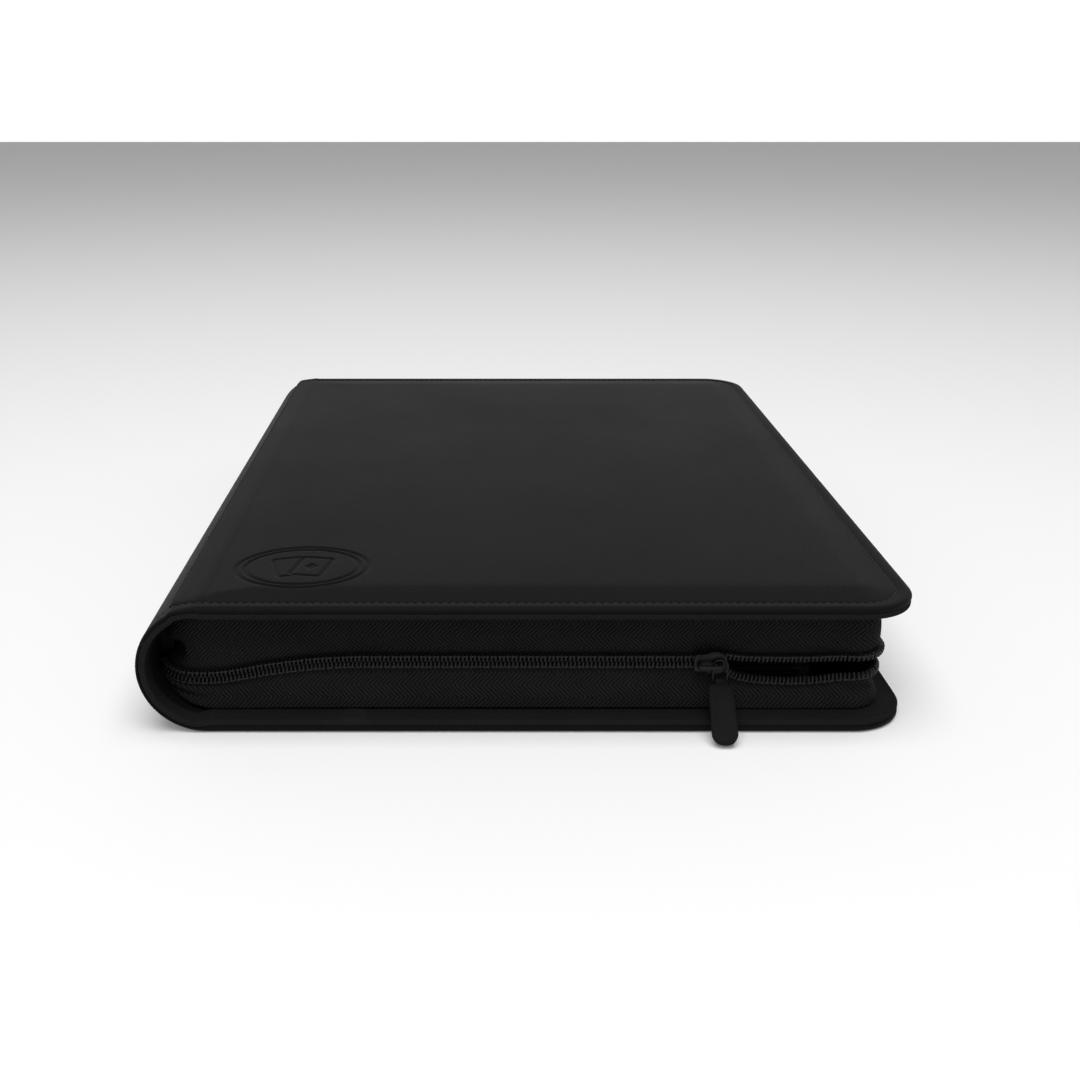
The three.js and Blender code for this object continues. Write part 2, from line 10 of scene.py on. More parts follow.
import bpy
import numpy as np
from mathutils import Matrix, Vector

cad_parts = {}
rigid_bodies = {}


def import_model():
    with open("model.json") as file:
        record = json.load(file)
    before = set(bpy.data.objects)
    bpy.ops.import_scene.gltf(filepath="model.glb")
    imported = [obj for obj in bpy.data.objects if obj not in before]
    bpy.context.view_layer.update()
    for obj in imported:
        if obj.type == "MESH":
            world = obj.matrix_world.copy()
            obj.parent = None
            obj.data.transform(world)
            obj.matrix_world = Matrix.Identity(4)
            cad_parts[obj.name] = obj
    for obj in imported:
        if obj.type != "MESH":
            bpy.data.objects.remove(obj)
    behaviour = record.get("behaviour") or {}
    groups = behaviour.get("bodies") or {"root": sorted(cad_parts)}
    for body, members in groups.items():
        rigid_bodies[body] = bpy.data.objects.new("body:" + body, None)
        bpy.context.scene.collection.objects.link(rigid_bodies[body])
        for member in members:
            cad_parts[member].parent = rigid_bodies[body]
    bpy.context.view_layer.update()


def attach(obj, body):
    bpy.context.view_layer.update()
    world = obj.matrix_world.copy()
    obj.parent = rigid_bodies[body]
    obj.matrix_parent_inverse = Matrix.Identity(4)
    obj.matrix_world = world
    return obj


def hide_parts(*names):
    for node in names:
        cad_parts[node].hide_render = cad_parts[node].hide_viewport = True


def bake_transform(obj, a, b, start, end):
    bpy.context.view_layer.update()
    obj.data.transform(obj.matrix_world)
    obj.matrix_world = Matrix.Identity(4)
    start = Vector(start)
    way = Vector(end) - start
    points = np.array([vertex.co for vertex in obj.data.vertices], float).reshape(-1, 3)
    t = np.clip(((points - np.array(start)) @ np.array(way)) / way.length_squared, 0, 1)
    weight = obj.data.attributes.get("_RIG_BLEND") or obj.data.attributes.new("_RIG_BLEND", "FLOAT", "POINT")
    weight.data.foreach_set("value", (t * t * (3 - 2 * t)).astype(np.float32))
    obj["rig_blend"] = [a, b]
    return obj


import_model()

# ---- Camera, table and light -----------------------------------------------------------------------
# The binder lies on a white table in front of a white wall and is seen from above its near edge.
# One large soft lamp hangs over it and a weak one stands in front.
MM = 0.001
LENS, SENSOR = 41.17, 36.0
CAMERA_PLACE = (-0.0172, -0.570, 0.2238)
CAMERA_TILT = math.radians(69.33)
CAMERA_SHIFT = 0.0565
TABLE_DROP = 0.0002
TABLE_GLOW = 0.12

camera_data = bpy.data.cameras.new("camera")
camera = bpy.data.objects.new("camera", camera_data)
bpy.context.scene.collection.objects.link(camera)
camera_data.lens, camera_data.sensor_width = LENS, SENSOR
camera_data.shift_x = CAMERA_SHIFT
camera_data.clip_start, camera_data.clip_end = 0.01, 50
camera.location = CAMERA_PLACE
camera.rotation_euler = (CAMERA_TILT, 0, 0)
bpy.context.scene.camera = camera
bpy.context.scene.view_settings.view_transform = "Standard"


class Wire:
    """A shader socket that can be added, multiplied and compared like a number."""

    def __init__(self, finish, socket):
        self.finish, self.socket = finish, socket

    def maths(self, operation, *others):
        values = {i: v for i, v in enumerate((self, *others))}
        return self.finish.node("ShaderNodeMath", {"operation": operation}, values)

    def __add__(self, other):
        return self.maths("ADD", other)

    def __sub__(self, other):
        return self.maths("SUBTRACT", other)

    def __mul__(self, other):
        return self.maths("MULTIPLY", other)

    def __truediv__(self, other):
        return self.maths("DIVIDE", other)

    def __pow__(self, other):
        return self.maths("POWER", other)

    def __rsub__(self, other):
        return (self * -1) + other

    __radd__, __rmul__ = __add__, __mul__

    def sine(self):
        return self.maths("SINE")


class Finish:
    """One procedural material, built node by node."""

    def __init__(self, name, colour, roughness, metallic=0.0, specular=0.5, sheen=0.0, coat=0.0):
        self.material = bpy.data.materials.new(name)
        self.material.use_nodes = True
        self.tree = self.material.node_tree
        self.shader = self.tree.nodes["Principled BSDF"]
        self.set("Base Color", (*colour, 1))
        self.set("Roughness", roughness)
        self.set("Metallic", metallic)
        self.set("Specular IOR Level", specular)
        self.set("Sheen Weight", sheen)
        self.set("Coat Weight", coat)

    def set(self, name, value):
        self.give(self.shader.inputs[name], value)

    def give(self, socket, value):
        if isinstance(value, Wire):
            self.tree.links.new(value.socket, socket)
        else:
            socket.default_value = value

    def node(self, kind, settings, values, output=0):
        made = self.tree.nodes.new(kind)
        for key, value in settings.items():
            setattr(made, key, value)
        named = {s.identifier: s for s in made.inputs}
        for key, value in values.items():
            socket = made.inputs[key] if key not in named else named[key]
            self.give(socket, value)
        return Wire(self, made.outputs[output])

    def along(self, axis, source="UV"):
        """The sheet's own coordinate along one axis, in millimetres."""
        where = self.node("ShaderNodeTexCoord", {}, {}, source)
        split = self.node("ShaderNodeSeparateXYZ", {}, {"Vector": where}, axis)
        return split * 1000

    def noise(self, size, detail=3.0, roughness=0.5, source="Object"):
        """Soft noise with blotches of about size millimetres."""
        where = self.node("ShaderNodeTexCoord", {}, {}, source)
        values = {"Vector": where, "Scale": 1000 / size, "Detail": detail, "Roughness": roughness}
        return self.node("ShaderNodeTexNoise", {}, values)

    def mix(self, share, first, second):
        values = {"Factor_Float": share, "A_Color": (*first, 1), "B_Color": (*second, 1)}
        settings = {"data_type": "RGBA", "clamp_factor": True}
        return self.node("ShaderNodeMix", settings, values, 2)

    def bump(self, height, distance, strength=1.0):
        values = {"Height": height, "Distance": distance * MM, "Strength": strength}
        self.set("Normal", self.node("ShaderNodeBump", {}, values))


table_finish = Finish("white_table", (0.9, 0.9, 0.9), 0.9, specular=0.1)
table_finish.set("Emission Color", (1, 1, 1, 1))
table_finish.set("Emission Strength", TABLE_GLOW)
table_mesh = bpy.data.meshes.new("table")
corners = [(-4, -4, -TABLE_DROP), (4, -4, -TABLE_DROP), (4, 4, -TABLE_DROP), (-4, 4, -TABLE_DROP)]
table_mesh.from_pydata(corners, [], [(0, 1, 2, 3)])
table_mesh.materials.append(table_finish.material)
table = bpy.data.objects.new("table", table_mesh)
bpy.context.scene.collection.objects.link(table)

# The room is bright behind the binder, low down, and dimmer above, in front and beside it.
world = bpy.data.worlds.new("white_room")
world.use_nodes = True
room = world.node_tree
WALL_LIGHT, ROOM_LIGHT = 1.02, 0.14
looking = room.nodes.new("ShaderNodeTexCoord")
split = room.nodes.new("ShaderNodeSeparateXYZ")
room.links.new(looking.outputs["Generated"], split.inputs[0])
fades = []
WALL_FADES = ((1, 0.05, 0.55), (2, 0.58, 0.34))  # axis, start and stop of each fade toward the wall
for axis, start, stop in WALL_FADES:
    fade = room.nodes.new("ShaderNodeMapRange")
    fade.interpolation_type = "SMOOTHSTEP"
    room.links.new(split.outputs[axis], fade.inputs["Value"])
    fade.inputs["From Min"].default_value, fade.inputs["From Max"].default_value = start, stop
    fades.append(fade.outputs[0])
both = room.nodes.new("ShaderNodeMath")
both.operation = "MULTIPLY"
strength = room.nodes.new("ShaderNodeMath")
strength.operation = "MULTIPLY_ADD"
room.links.new(fades[0], both.inputs[0])
room.links.new(fades[1], both.inputs[1])
room.links.new(both.outputs[0], strength.inputs[0])
strength.inputs[1].default_value = WALL_LIGHT - ROOM_LIGHT
strength.inputs[2].default_value = ROOM_LIGHT
backdrop = room.nodes["Background"]
backdrop.inputs["Color"].default_value = (1, 1, 1, 1)
# Seen directly the backdrop is the same pale white on every side.
seen = room.nodes.new("ShaderNodeLightPath")
shown = room.nodes.new("ShaderNodeMix")
shown.data_type = "FLOAT"
room.links.new(seen.outputs["Is Camera Ray"], shown.inputs[0])
room.links.new(strength.outputs[0], shown.inputs[2])
shown.inputs[3].default_value = WALL_LIGHT
room.links.new(shown.outputs[0], backdrop.inputs["Strength"])
bpy.context.scene.world = world


def soft_lamp(name, place, target, size, power):
    data = bpy.data.lights.new(name, "AREA")
    data.size, data.energy = size, power
    lamp = bpy.data.objects.new(name, data)
    bpy.context.scene.collection.objects.link(lamp)
    lamp.location = place
    away = np.array(place) - np.array(target)
    lamp.rotation_euler = Vector(away).to_track_quat("Z", "Y").to_euler()


soft_lamp("lamp_over", (0.0, -0.5, 1.6), (0, 0, 0), 1.6, 26)
soft_lamp("lamp_front", (-0.5, -1.8, 1.3), (0, -0.6, 0), 1.6, 4)

# ---- Cover skins -----------------------------------------------------------------------------------
# The case is one sheet of coated fabric with a fine woven grain. It is glued over foam and board,
# rolled in round the edges and stitched, and it runs from the front cover round the spine to the back.
HINGE_X, FORE_X, HALF_LENGTH = -115.5, 140.0, 175.0
SPINE_RADIUS = 24.5
CORNER_RADIUS = 21.0
FLAT_LENGTH = FORE_X - HINGE_X
ARC_LENGTH = math.pi * SPINE_RADIUS
SEAM_S = -SPINE_RADIUS * math.radians(30)  # the sheet is pieced along a seam on the curve
SKIN_THICKNESS = 0.6
STITCH_INSET = 5.6


def smooth(t):
    t = np.clip(t, 0, 1)
    return t * t * (3 - 2 * t)


def place(s, y, h):
    """The point at s along the case's outline, y along the spine and h out from its outside.

    s is 0 where the front cover meets the spine, grows to the fore edge, and falls round the spine.
    """
    s, y, h = np.broadcast_arrays(*(np.asarray(v, float) for v in (s, y, h)))
    angle = np.clip(-s / SPINE_RADIUS, 0, math.pi)
    front, back = np.maximum(s, 0), np.maximum(-s - ARC_LENGTH, 0)
    x = HINGE_X + front + back - (SPINE_RADIUS + h) * np.sin(angle)
    z = SPINE_RADIUS + (SPINE_RADIUS + h) * np.cos(angle)
    return np.stack([x, y, z], -1)


def signed_volume(points, faces):
    total = 0.0
    for face in faces:
        a = points[face[0]]
        for i in range(1, len(face) - 1):
            total += np.dot(a, np.cross(points[face[i]], points[face[i + 1]]))
    return total


def piece(name, points, faces, finish, uv=None, sharp=40):
    """A closed mesh in millimetres as one object at the origin, with its faces pointing outwards."""
    points = np.asarray(points, float).reshape(-1, 3)
    quads = np.array([f for f in faces if len(f) == 4], int).reshape(-1, 4)
    rest = [f for f in faces if len(f) != 4]
    volume = signed_volume(points, rest)
    if len(quads):
        a, b, c, d = (points[quads[:, i]] for i in range(4))
        volume += np.sum(a * (np.cross(b, c) + np.cross(c, d)))
    if volume < 0:
        faces = [tuple(reversed(f)) for f in faces]
    mesh = bpy.data.meshes.new(name)
    mesh.from_pydata((points * MM).tolist(), [], [tuple(int(i) for i in f) for f in faces])
    if uv is not None:
        layer = mesh.uv_layers.new(name="flat")
        index = np.empty(len(mesh.loops), int)
        mesh.loops.foreach_get("vertex_index", index)
        layer.data.foreach_set("uv", (np.asarray(uv, float).reshape(-1, 2) * MM)[index].ravel())
    mesh.shade_smooth()
    mesh.set_sharp_from_angle(angle=math.radians(sharp))
    mesh.materials.append(finish.material)
    made = bpy.data.objects.new(name, mesh)
    bpy.context.scene.collection.objects.link(made)
    return made


def sheet_faces(rows, columns):
    """Faces of two grids of rows by columns points, front and back, joined round their borders."""
    grid = np.arange(rows * columns).reshape(rows, columns)
    back = grid + rows * columns
    a, b, c, d = grid[:-1, :-1], grid[1:, :-1], grid[1:, 1:], grid[:-1, 1:]
    faces = np.stack([a, b, c, d], -1).reshape(-1, 4).tolist()
    faces += (np.stack([d, c, b, a], -1) + rows * columns).reshape(-1, 4).tolist()
    rim = list(grid[0, :]) + list(grid[1:, -1]) + list(grid[-1, -2::-1]) + list(grid[-2:0:-1, 0])
    other = list(back[0, :]) + list(back[1:, -1]) + list(back[-1, -2::-1]) + list(back[-2:0:-1, 0])
    for i in range(len(rim)):
        j = (i + 1) % len(rim)
        faces.append([rim[i], rim[j], other[j], other[i]])
    return faces


# The rolled edge, from inside the stitch line over the edge and in under the board: how far along the
# sheet, how far in from the outline, and the height of the outside on the front, spine and back.
EDGE = np.array(
    [
        # along, inset, front, spine, back
        (-2.2, 0.90, -1.87, -1.25, -2.60),
        (-1.8, 0.55, -1.87, -1.25, -2.60),
        (-1.5, 0.25, -1.80, -1.20, -2.52),
        (-1.1, 0.06, -1.62, -1.08, -2.30),
        (-0.6, 0.00, -1.30, -0.90, -1.80),
        (0.0, 0.04, -0.90, -0.65, -1.10),
        (0.4, 0.28, -0.48, -0.36, -0.58),
        (0.8, 0.70, -0.18, -0.16, -0.26),
        (1.4, 1.35, 0.03, -0.05, -0.07),
        (2.2, 2.20, 0.13, 0.00, 0.00),
        (3.2, 3.20, 0.10, 0.00, 0.00),
        (4.2, 4.20, -0.02, -0.03, -0.03),
        (4.9, 4.90, -0.14, -0.12, -0.12),
        (5.3, 5.30, -0.30, -0.24, -0.24),
        (5.6, 5.60, -0.36, -0.30, -0.30),
        (5.9, 5.90, -0.30, -0.24, -0.24),
        (6.4, 6.40, -0.12, -0.10, -0.10),
        (7.2, 7.20, -0.02, 0.00, 0.00),
        (8.6, 8.60, 0.12, 0.00, 0.00),
        (10.5, 10.5, 0.33, 0.00, 0.00),
        (13.0, 13.0, 0.61, 0.00, 0.00),
        (16.0, 16.0, 0.94, 0.00, 0.00),
        (18.5, 18.5, 1.16, 0.00, 0.00),
        (21.0, 21.0, 1.23, 0.00, 0.00),
        (28.0, 28.0, 1.27, 0.00, 0.00),
        (38.0, 38.0, 1.29, 0.00, 0.00),
        (50.0, 50.0, 1.30, 0.00, 0.00),
    ]
)
# The padded front cover stands up from the seam at the spine: distance past the seam, X and height.
SHOULDER = np.array(
    [
        (0.0, -127.75, 45.42),
        (0.7, -127.70, 46.40),
        (1.6, -127.30, 47.25),
        (2.8, -126.40, 47.80),
        (4.0, -125.30, 48.10),
        (6.0, -123.30, 48.45),
        (9.0, -120.00, 48.90),
        (12.83, -115.50, 49.40),
    ]
)
# And how the padding goes on rising past the spine's curve: distance and height.
SPINE_RISE = np.array([(0, 0.4), (6, 0.75), (15, 1.05), (30, 1.25), (40, 1.3)])


def shoulder(s, y, d):
    """How far the padding lifts the outline beside the seam, less at the near edge than elsewhere."""
    share = np.where(y > 0, 1.0, 0.5 + 0.5 * smooth((d - 3.5) / 6)) * ((s >= SEAM_S) & (s < 0))
    curve = place(s, 0, 0)
    up_x = np.interp(s - SEAM_S, SHOULDER[:, 0], SHOULDER[:, 1]) - curve[..., 0]
    up_z = np.interp(s - SEAM_S, SHOULDER[:, 0], SHOULDER[:, 2]) - curve[..., 2]
    return np.stack([share * up_x, 0 * up_x, share * up_z], -1)


def part_weights(s):
    """How much of the front's, the spine's and the back's edge the sheet has at s."""
    front = smooth((s + 6) / 8)
    back = smooth((-s - ARC_LENGTH + 6) / 8)
    return front, 1 - front - back, back


def card_distance(u, v, turn, shift):
    """Distance outside the outline of one card in the mark, less than 0 inside it."""
    c, k = math.cos(turn), math.sin(turn)
    p, q = (u - shift) * c + v * k, -(u - shift) * k + v * c
    a, b = np.abs(p) - CARD_HALF[0], np.abs(q) - CARD_HALF[1]
    return np.hypot(np.maximum(a, 0), np.maximum(b, 0)) + np.minimum(np.maximum(a, b), 0) - 1.4


MARK_PLACE, MARK_HALF, CARD_HALF = (-83.8, -138.0), (25.5, 20.5), (4.4, 7.4)
MARK_DEPTH, MARK_LINE = 0.42, 1.1


def emblem(x, y):
    """Depth of the pressed mark on the front cover: two fanned cards in an oval ring."""
    u, v = x - MARK_PLACE[0], y - MARK_PLACE[1]
    reach = np.hypot(u / MARK_HALF[0], v / MARK_HALF[1])
    outer, inner = np.abs(reach - 0.97) * 21, np.abs(reach - 0.84) * 21
    front = card_distance(u, v, math.radians(-11), 3.6)
    behind = card_distance(u, v, math.radians(13), -4.2)
    behind = np.where(front < 1.3, 9, np.abs(behind))
    pip = np.maximum(np.abs(u - 3.6) / 1.5 + np.abs(v) / 2.3 - 1, 0) * 1.5
    line = np.minimum.reduce([outer, inner, np.abs(front), behind, pip])
    return -MARK_DEPTH * smooth((MARK_LINE - line) / 0.8)


def skin_grid(s, y, thickness):
    """Outside and inside of the skin over sheet coordinates s and y, shaped round corner and edge."""
    s, y = np.meshgrid(s, y, indexing="ij")
    side = np.where(y < 0, -1.0, 1.0)
    front, spine, back = part_weights(s)
    to_fore = np.where(s > -ARC_LENGTH / 2, FLAT_LENGTH - s, FLAT_LENGTH + s + ARC_LENGTH)
    to_end = HALF_LENGTH - np.abs(y)
    d = np.minimum(to_fore, to_end)
    inset = np.interp(d, EDGE[:, 0], EDGE[:, 1])
    inset = np.where(d > 50, d, inset)
    rise = [np.interp(d, EDGE[:, 0], EDGE[:, i]) for i in (2, 3, 4)]
    past_curve = np.interp(np.maximum(s, 0), SPINE_RISE[:, 0], SPINE_RISE[:, 1])
    rise[0] = np.minimum(rise[0], past_curve)
    h = front * rise[0] + spine * rise[1] + back * rise[2]
    h += np.where((s > 3) & (d > 8), emblem(HINGE_X + s, y), 0)
    layers = []
    tilt = np.stack([np.gradient(EDGE[:, i], EDGE[:, 1] * 0 + EDGE[:, 0]) for i in (1, 2, 3, 4)], -1)
    steep = [np.interp(d, EDGE[:, 0], tilt[:, i]) for i in range(4)]
    slope = front * steep[1] + spine * steep[2] + back * steep[3]
    size = np.hypot(steep[0], slope)
    edge_zone = smooth((4 - d) / 2)
    for depth in (0.0, thickness):
        # The inside lies one thickness in, square to the rolled edge.
        in_by = inset + edge_zone * depth * slope / size
        height = h - depth * (1 - edge_zone + edge_zone * steep[0] / size)
        p, q = CORNER_RADIUS - to_fore, CORNER_RADIUS - to_end
        corner = (p > 0) & (q > 0)
        longest = np.maximum(np.maximum(p, q), 1e-6)
        ratio = np.minimum(p, q) / longest
        angle = np.where(p >= q, ratio, 2 - ratio) * math.pi / 4
        reach = CORNER_RADIUS - in_by
        fore = np.where(corner, CORNER_RADIUS - reach * np.cos(angle), to_fore)
        end = np.where(corner, CORNER_RADIUS - reach * np.sin(angle), to_end)
        fore = np.where(~corner & (to_fore < CORNER_RADIUS), in_by, fore)
        end = np.where(~corner & (to_end < CORNER_RADIUS), in_by, end)
        new_s = np.where(s > -ARC_LENGTH / 2, FLAT_LENGTH - fore, fore - FLAT_LENGTH - ARC_LENGTH)
        spot = place(new_s, side * (HALF_LENGTH - end), height)
        layers.append(spot + shoulder(s, y, d))
    uv = np.stack([s, y], -1)
    return np.stack(layers), np.stack([uv, uv])


def grid_lines(start, stop, step, extra=()):
    count = max(int(round(abs(stop - start) / step)), 1)
    return sorted(set(np.round(np.concatenate([np.linspace(start, stop, count + 1), extra]), 4)))


edge_steps = EDGE[:-1, 0]
end_lines = [-HALF_LENGTH + d for d in edge_steps] + [HALF_LENGTH - d for d in edge_steps]
y_lines = grid_lines(-HALF_LENGTH + 50, HALF_LENGTH - 50, 12, end_lines)
emblem_y = np.arange(-160.5, -116, 0.5)
front_y = sorted({v for v in y_lines if not -161 < v < -115.5} | set(emblem_y))
fore_lines = [FLAT_LENGTH - d for d in edge_steps]
emblem_s = np.arange(4, 61, 0.5)
front_s = [SEAM_S + r for r in (0, 0.7, 1.6, 2.8, 4, 6, 9, 11.5)] + [0, 1.5, 3]
front_s += [v for v in grid_lines(FLAT_LENGTH - 190, FLAT_LENGTH - 50, 12)] + fore_lines
front_s = sorted({round(v, 4) for v in front_s} | set(np.round(emblem_s, 4)))

cover_fabric = Finish("cover_fabric", (0.010, 0.010, 0.0102), 0.58, specular=0.05)
GRAIN_PITCH = 0.83
u_line, v_line = cover_fabric.along("X"), cover_fabric.along("Y")
GRAIN = 2 * math.pi / GRAIN_PITCH
dots = (((u_line + v_line * 0.28) * GRAIN).sine() + ((u_line - v_line * 0.28) * GRAIN).sine()) * 0.5
blotch = cover_fabric.noise(60, 4.0, 0.6)
fine = cover_fabric.noise(0.5, 2.0, 0.5)
share = dots * 0.4 + 0.5 + (blotch - 0.5) * 0.7 + (fine - 0.5) * 0.25
cover_fabric.set("Base Color", cover_fabric.mix(share, (0.0036, 0.0036, 0.0036), (0.0080, 0.0080, 0.0081)))
cover_fabric.set("Roughness", 0.55 - dots * 0.05 + (blotch - 0.5) * 0.12)
cover_fabric.bump(dots * 0.5 + fine * 0.25, 0.08)

SKINS = {
    "front_cover_cloth": (front_s, front_y, ["front_skin"]),
    "upper_spine_cloth": (grid_lines(SEAM_S, 3 * SEAM_S, 1.6), y_lines, ["upper_fold_skin", "spine_skin"]),
    "lower_spine_cloth": (grid_lines(3 * SEAM_S, 5 * SEAM_S, 1.6), y_lines, ["lower_fold_skin"]),
}
back_s = [5 * SEAM_S - v for v in (0, 1.6, 3.2, 4.8, 6.4, 8, 9.6, 11.2, 12.8)]
back_s += [-ARC_LENGTH - v for v in (3, 8, 20, 40, 70, 100, 130, 160, 190, *fore_lines)]
SKINS["back_cover_cloth"] = (sorted(set(np.round(back_s, 4))), y_lines, ["back_skin"])

# Each fold turns about a line in the case's outside: its place along s and the bodies on both sides.
FOLDS = {
    "front": (0.0, "upper_fold", "front_cover"),
    "upper": (2 * SEAM_S, "spine", "upper_fold"),
    "lower": (4 * SEAM_S, "lower_fold", "spine"),
    "back": (6 * SEAM_S, "back_cover", "lower_fold"),
}


def bend(made, fold, reach=5.5):
    """Lets a piece bend between the two bodies that meet at a fold."""
    s, before, after = FOLDS[fold]
    here = place(s, 0, 0)
    ahead = place(s + 0.5, 0, 0) - place(s - 0.5, 0, 0)
    ahead /= np.linalg.norm(ahead)
    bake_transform(made, before, after, tuple((here - ahead * reach) * MM), tuple((here + ahead * reach) * MM))


for name, fold in zip(SKINS, FOLDS):
    s_lines, lines, nodes = SKINS[name]
    points, uv = skin_grid(np.array(s_lines), np.array(lines), SKIN_THICKNESS)
    made = piece(name, points, sheet_faces(len(s_lines), len(lines)), cover_fabric, uv)
    bend(made, fold)
    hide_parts(*nodes)
    if name in ("front_cover_cloth", "back_cover_cloth"):
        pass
    else:
        cut = (abs(s_lines[-1] - s_lines[0]) * MM, 2 * HALF_LENGTH * MM)

# ---- Stitching -------------------------------------------------------------------------------------
# Black thread, a little lighter than the cloth, holds the rolled edge down on three sides of each
# cover and on both ends of the spine, and closes the pieced seams beside the spine.
thread = Finish("thread", (0.038, 0.038, 0.039), 0.55, specular=0.2)
twist = (thread.along("X", "Object") + thread.along("Y", "Object")) * 22
thread.set("Roughness", 0.55 + twist.sine() * 0.08)
thread.bump(twist.sine() + thread.noise(0.4), 0.03)


def tube(path, section, up=(0, 0, 1), closed=False):
    """Rings of a section swept along a path: points and faces of a closed mesh, with flat ends."""
    path, up = np.asarray(path, float), np.asarray(up, float)
    if closed:
        ahead = np.roll(path, -1, 0) - np.roll(path, 1, 0)
    else:
        ahead = np.gradient(path, axis=0)
    ahead /= np.linalg.norm(ahead, axis=1)[:, None]
    across = np.cross(ahead, up)
    across /= np.linalg.norm(across, axis=1)[:, None]
    over = np.cross(across, ahead)
    section = np.asarray(section, float)
    if section.ndim == 2:
        section = np.repeat(section[None], len(path), 0)
    rings = path[:, None] + across[:, None] * section[..., :1] + over[:, None] * section[..., 1:]
    return rings.reshape(-1, 3), ring_faces(len(path), section.shape[1], closed)


def ring_faces(rings, count, closed=False):
    faces = []
    for i in range(rings if closed else rings - 1):
        here, there = i * count, ((i + 1) % rings) * count
        for j in range(count):
            k = (j + 1) % count
            faces.append((here + j, here + k, there + k, there + j))
    if not closed:
        faces.append(tuple(range(count))[::-1])
        faces.append(tuple(range((rings - 1) * count, rings * count)))
    return faces


def round_section(width, height, count=8):
    turn = np.arange(count) / count * 2 * math.pi
    return np.stack([width / 2 * np.cos(turn), height / 2 * np.sin(turn)], -1)


def repeat_tree():
    """Geometry Nodes that set a copy of one item at every pitch along a path, facing as it says."""
    tree = bpy.data.node_groups.new("repeat_along_path", "GeometryNodeTree")
    face = tree.interface
    for name, kind in (
        ("Path", "NodeSocketGeometry"),
        ("Item", "NodeSocketObject"),
        ("Pitch", "NodeSocketFloat"),
        ("Wobble", "NodeSocketFloat"),
        ("Seed", "NodeSocketInt"),
        ("Finish", "NodeSocketMaterial"),
    ):
        face.new_socket(name, in_out="INPUT", socket_type=kind)
    face.new_socket("Copies", in_out="OUTPUT", socket_type="NodeSocketGeometry")

    def add(kind, settings=None, **links):
        made = tree.nodes.new(kind)
        for key, value in (settings or {}).items():
            setattr(made, key, value)
        for key, value in links.items():
            socket = made.inputs[key.replace("_", " ")]
            if isinstance(value, bpy.types.NodeSocket):
                tree.links.new(value, socket)
            else:
                socket.default_value = value
        return made

    asked = tree.nodes.new("NodeGroupInput").outputs
    curve = add("GeometryNodeMeshToCurve", Mesh=asked["Path"]).outputs[0]
    by_length = {"mode": "LENGTH"}
    spaced = add("GeometryNodeResampleCurve", by_length, Curve=curve, Length=asked["Pitch"])
    dots = add("GeometryNodeCurveToPoints", {"mode": "EVALUATED"}, Curve=spaced.outputs[0])
    facing = add("GeometryNodeInputNamedAttribute", {"data_type": "FLOAT_VECTOR"}, Name="facing")
    ahead = add("GeometryNodeInputNamedAttribute", {"data_type": "FLOAT_VECTOR"}, Name="ahead")
    turned = add("FunctionNodeAxesToRotation", {"primary_axis": "X", "secondary_axis": "Y"})
    tree.links.new(ahead.outputs[0], turned.inputs[0])
    tree.links.new(facing.outputs[0], turned.inputs[1])
    item = add("GeometryNodeObjectInfo", Object=asked["Item"])
    less = add("ShaderNodeMath", {"operation": "MULTIPLY"})
    tree.links.new(asked["Wobble"], less.inputs[0])
    less.inputs[1].default_value = -1
    tilt = add("FunctionNodeRandomValue", {"data_type": "FLOAT"})
    for source, slot in ((less.outputs[0], 2), (asked["Wobble"], 3), (asked["Seed"], 8)):
        tree.links.new(source, tilt.inputs[slot])
    turn = add("ShaderNodeCombineXYZ", Z=tilt.outputs[1])
    both = add("FunctionNodeRotateRotation", {"rotation_space": "LOCAL"}, Rotation=turned.outputs[0])
    tree.links.new(turn.outputs[0], both.inputs[1])
    set_out = add("GeometryNodeInstanceOnPoints", Points=dots.outputs[0], Instance=item.outputs["Geometry"])
    tree.links.new(both.outputs[0], set_out.inputs["Rotation"])
    real = add("GeometryNodeRealizeInstances", Geometry=set_out.outputs[0])
    painted = add("GeometryNodeSetMaterial", Geometry=real.outputs[0], Material=asked["Finish"])
    out = tree.nodes.new("NodeGroupOutput")
    tree.links.new(painted.outputs[0], out.inputs[0])
    return tree


REPEAT = repeat_tree()


def repeated(name, paths, item, pitch, finish, wobble=0.0, seed=1):
    """One plain mesh of an item repeated along paths. A path is its points and its facing vectors."""
    points, edges, facing, ahead = [], [], [], []
    for line, outward in paths:
        line = np.asarray(line, float)
        base = len(points)
        points += line.tolist()
        edges += [(base + i, base + i + 1) for i in range(len(line) - 1)]
        facing += np.broadcast_to(outward, line.shape).tolist()
        ahead += np.gradient(line, axis=0).tolist()
    mesh = bpy.data.meshes.new(name + "_path")
    mesh.from_pydata((np.array(points) * MM).tolist(), edges, [])
    for key, values in (("facing", facing), ("ahead", ahead)):
        layer = mesh.attributes.new(key, "FLOAT_VECTOR", "POINT")
        layer.data.foreach_set("vector", np.array(values, np.float32).ravel())
    carrier = bpy.data.objects.new(name + "_path", mesh)
    bpy.context.scene.collection.objects.link(carrier)
    modifier = carrier.modifiers.new("repeat", "NODES")
    modifier.node_group = REPEAT
    asked = {s.name: s.identifier for s in REPEAT.interface.items_tree if s.in_out == "INPUT"}
    given = {"Item": item, "Pitch": pitch * MM, "Wobble": wobble, "Seed": seed}
    for key, value in {**given, "Finish": finish.material}.items():
        modifier[asked[key]] = value
    graph = bpy.context.evaluated_depsgraph_get()
    copies = bpy.data.meshes.new_from_object(carrier.evaluated_get(graph))
    copies.name = name
    copies.shade_smooth()
    for old in list(copies.attributes):
        if old.name in ("facing", "ahead"):
            copies.attributes.remove(old)
    bpy.data.objects.remove(carrier)
    made = bpy.data.objects.new(name, copies)
    bpy.context.scene.collection.objects.link(made)
    return made


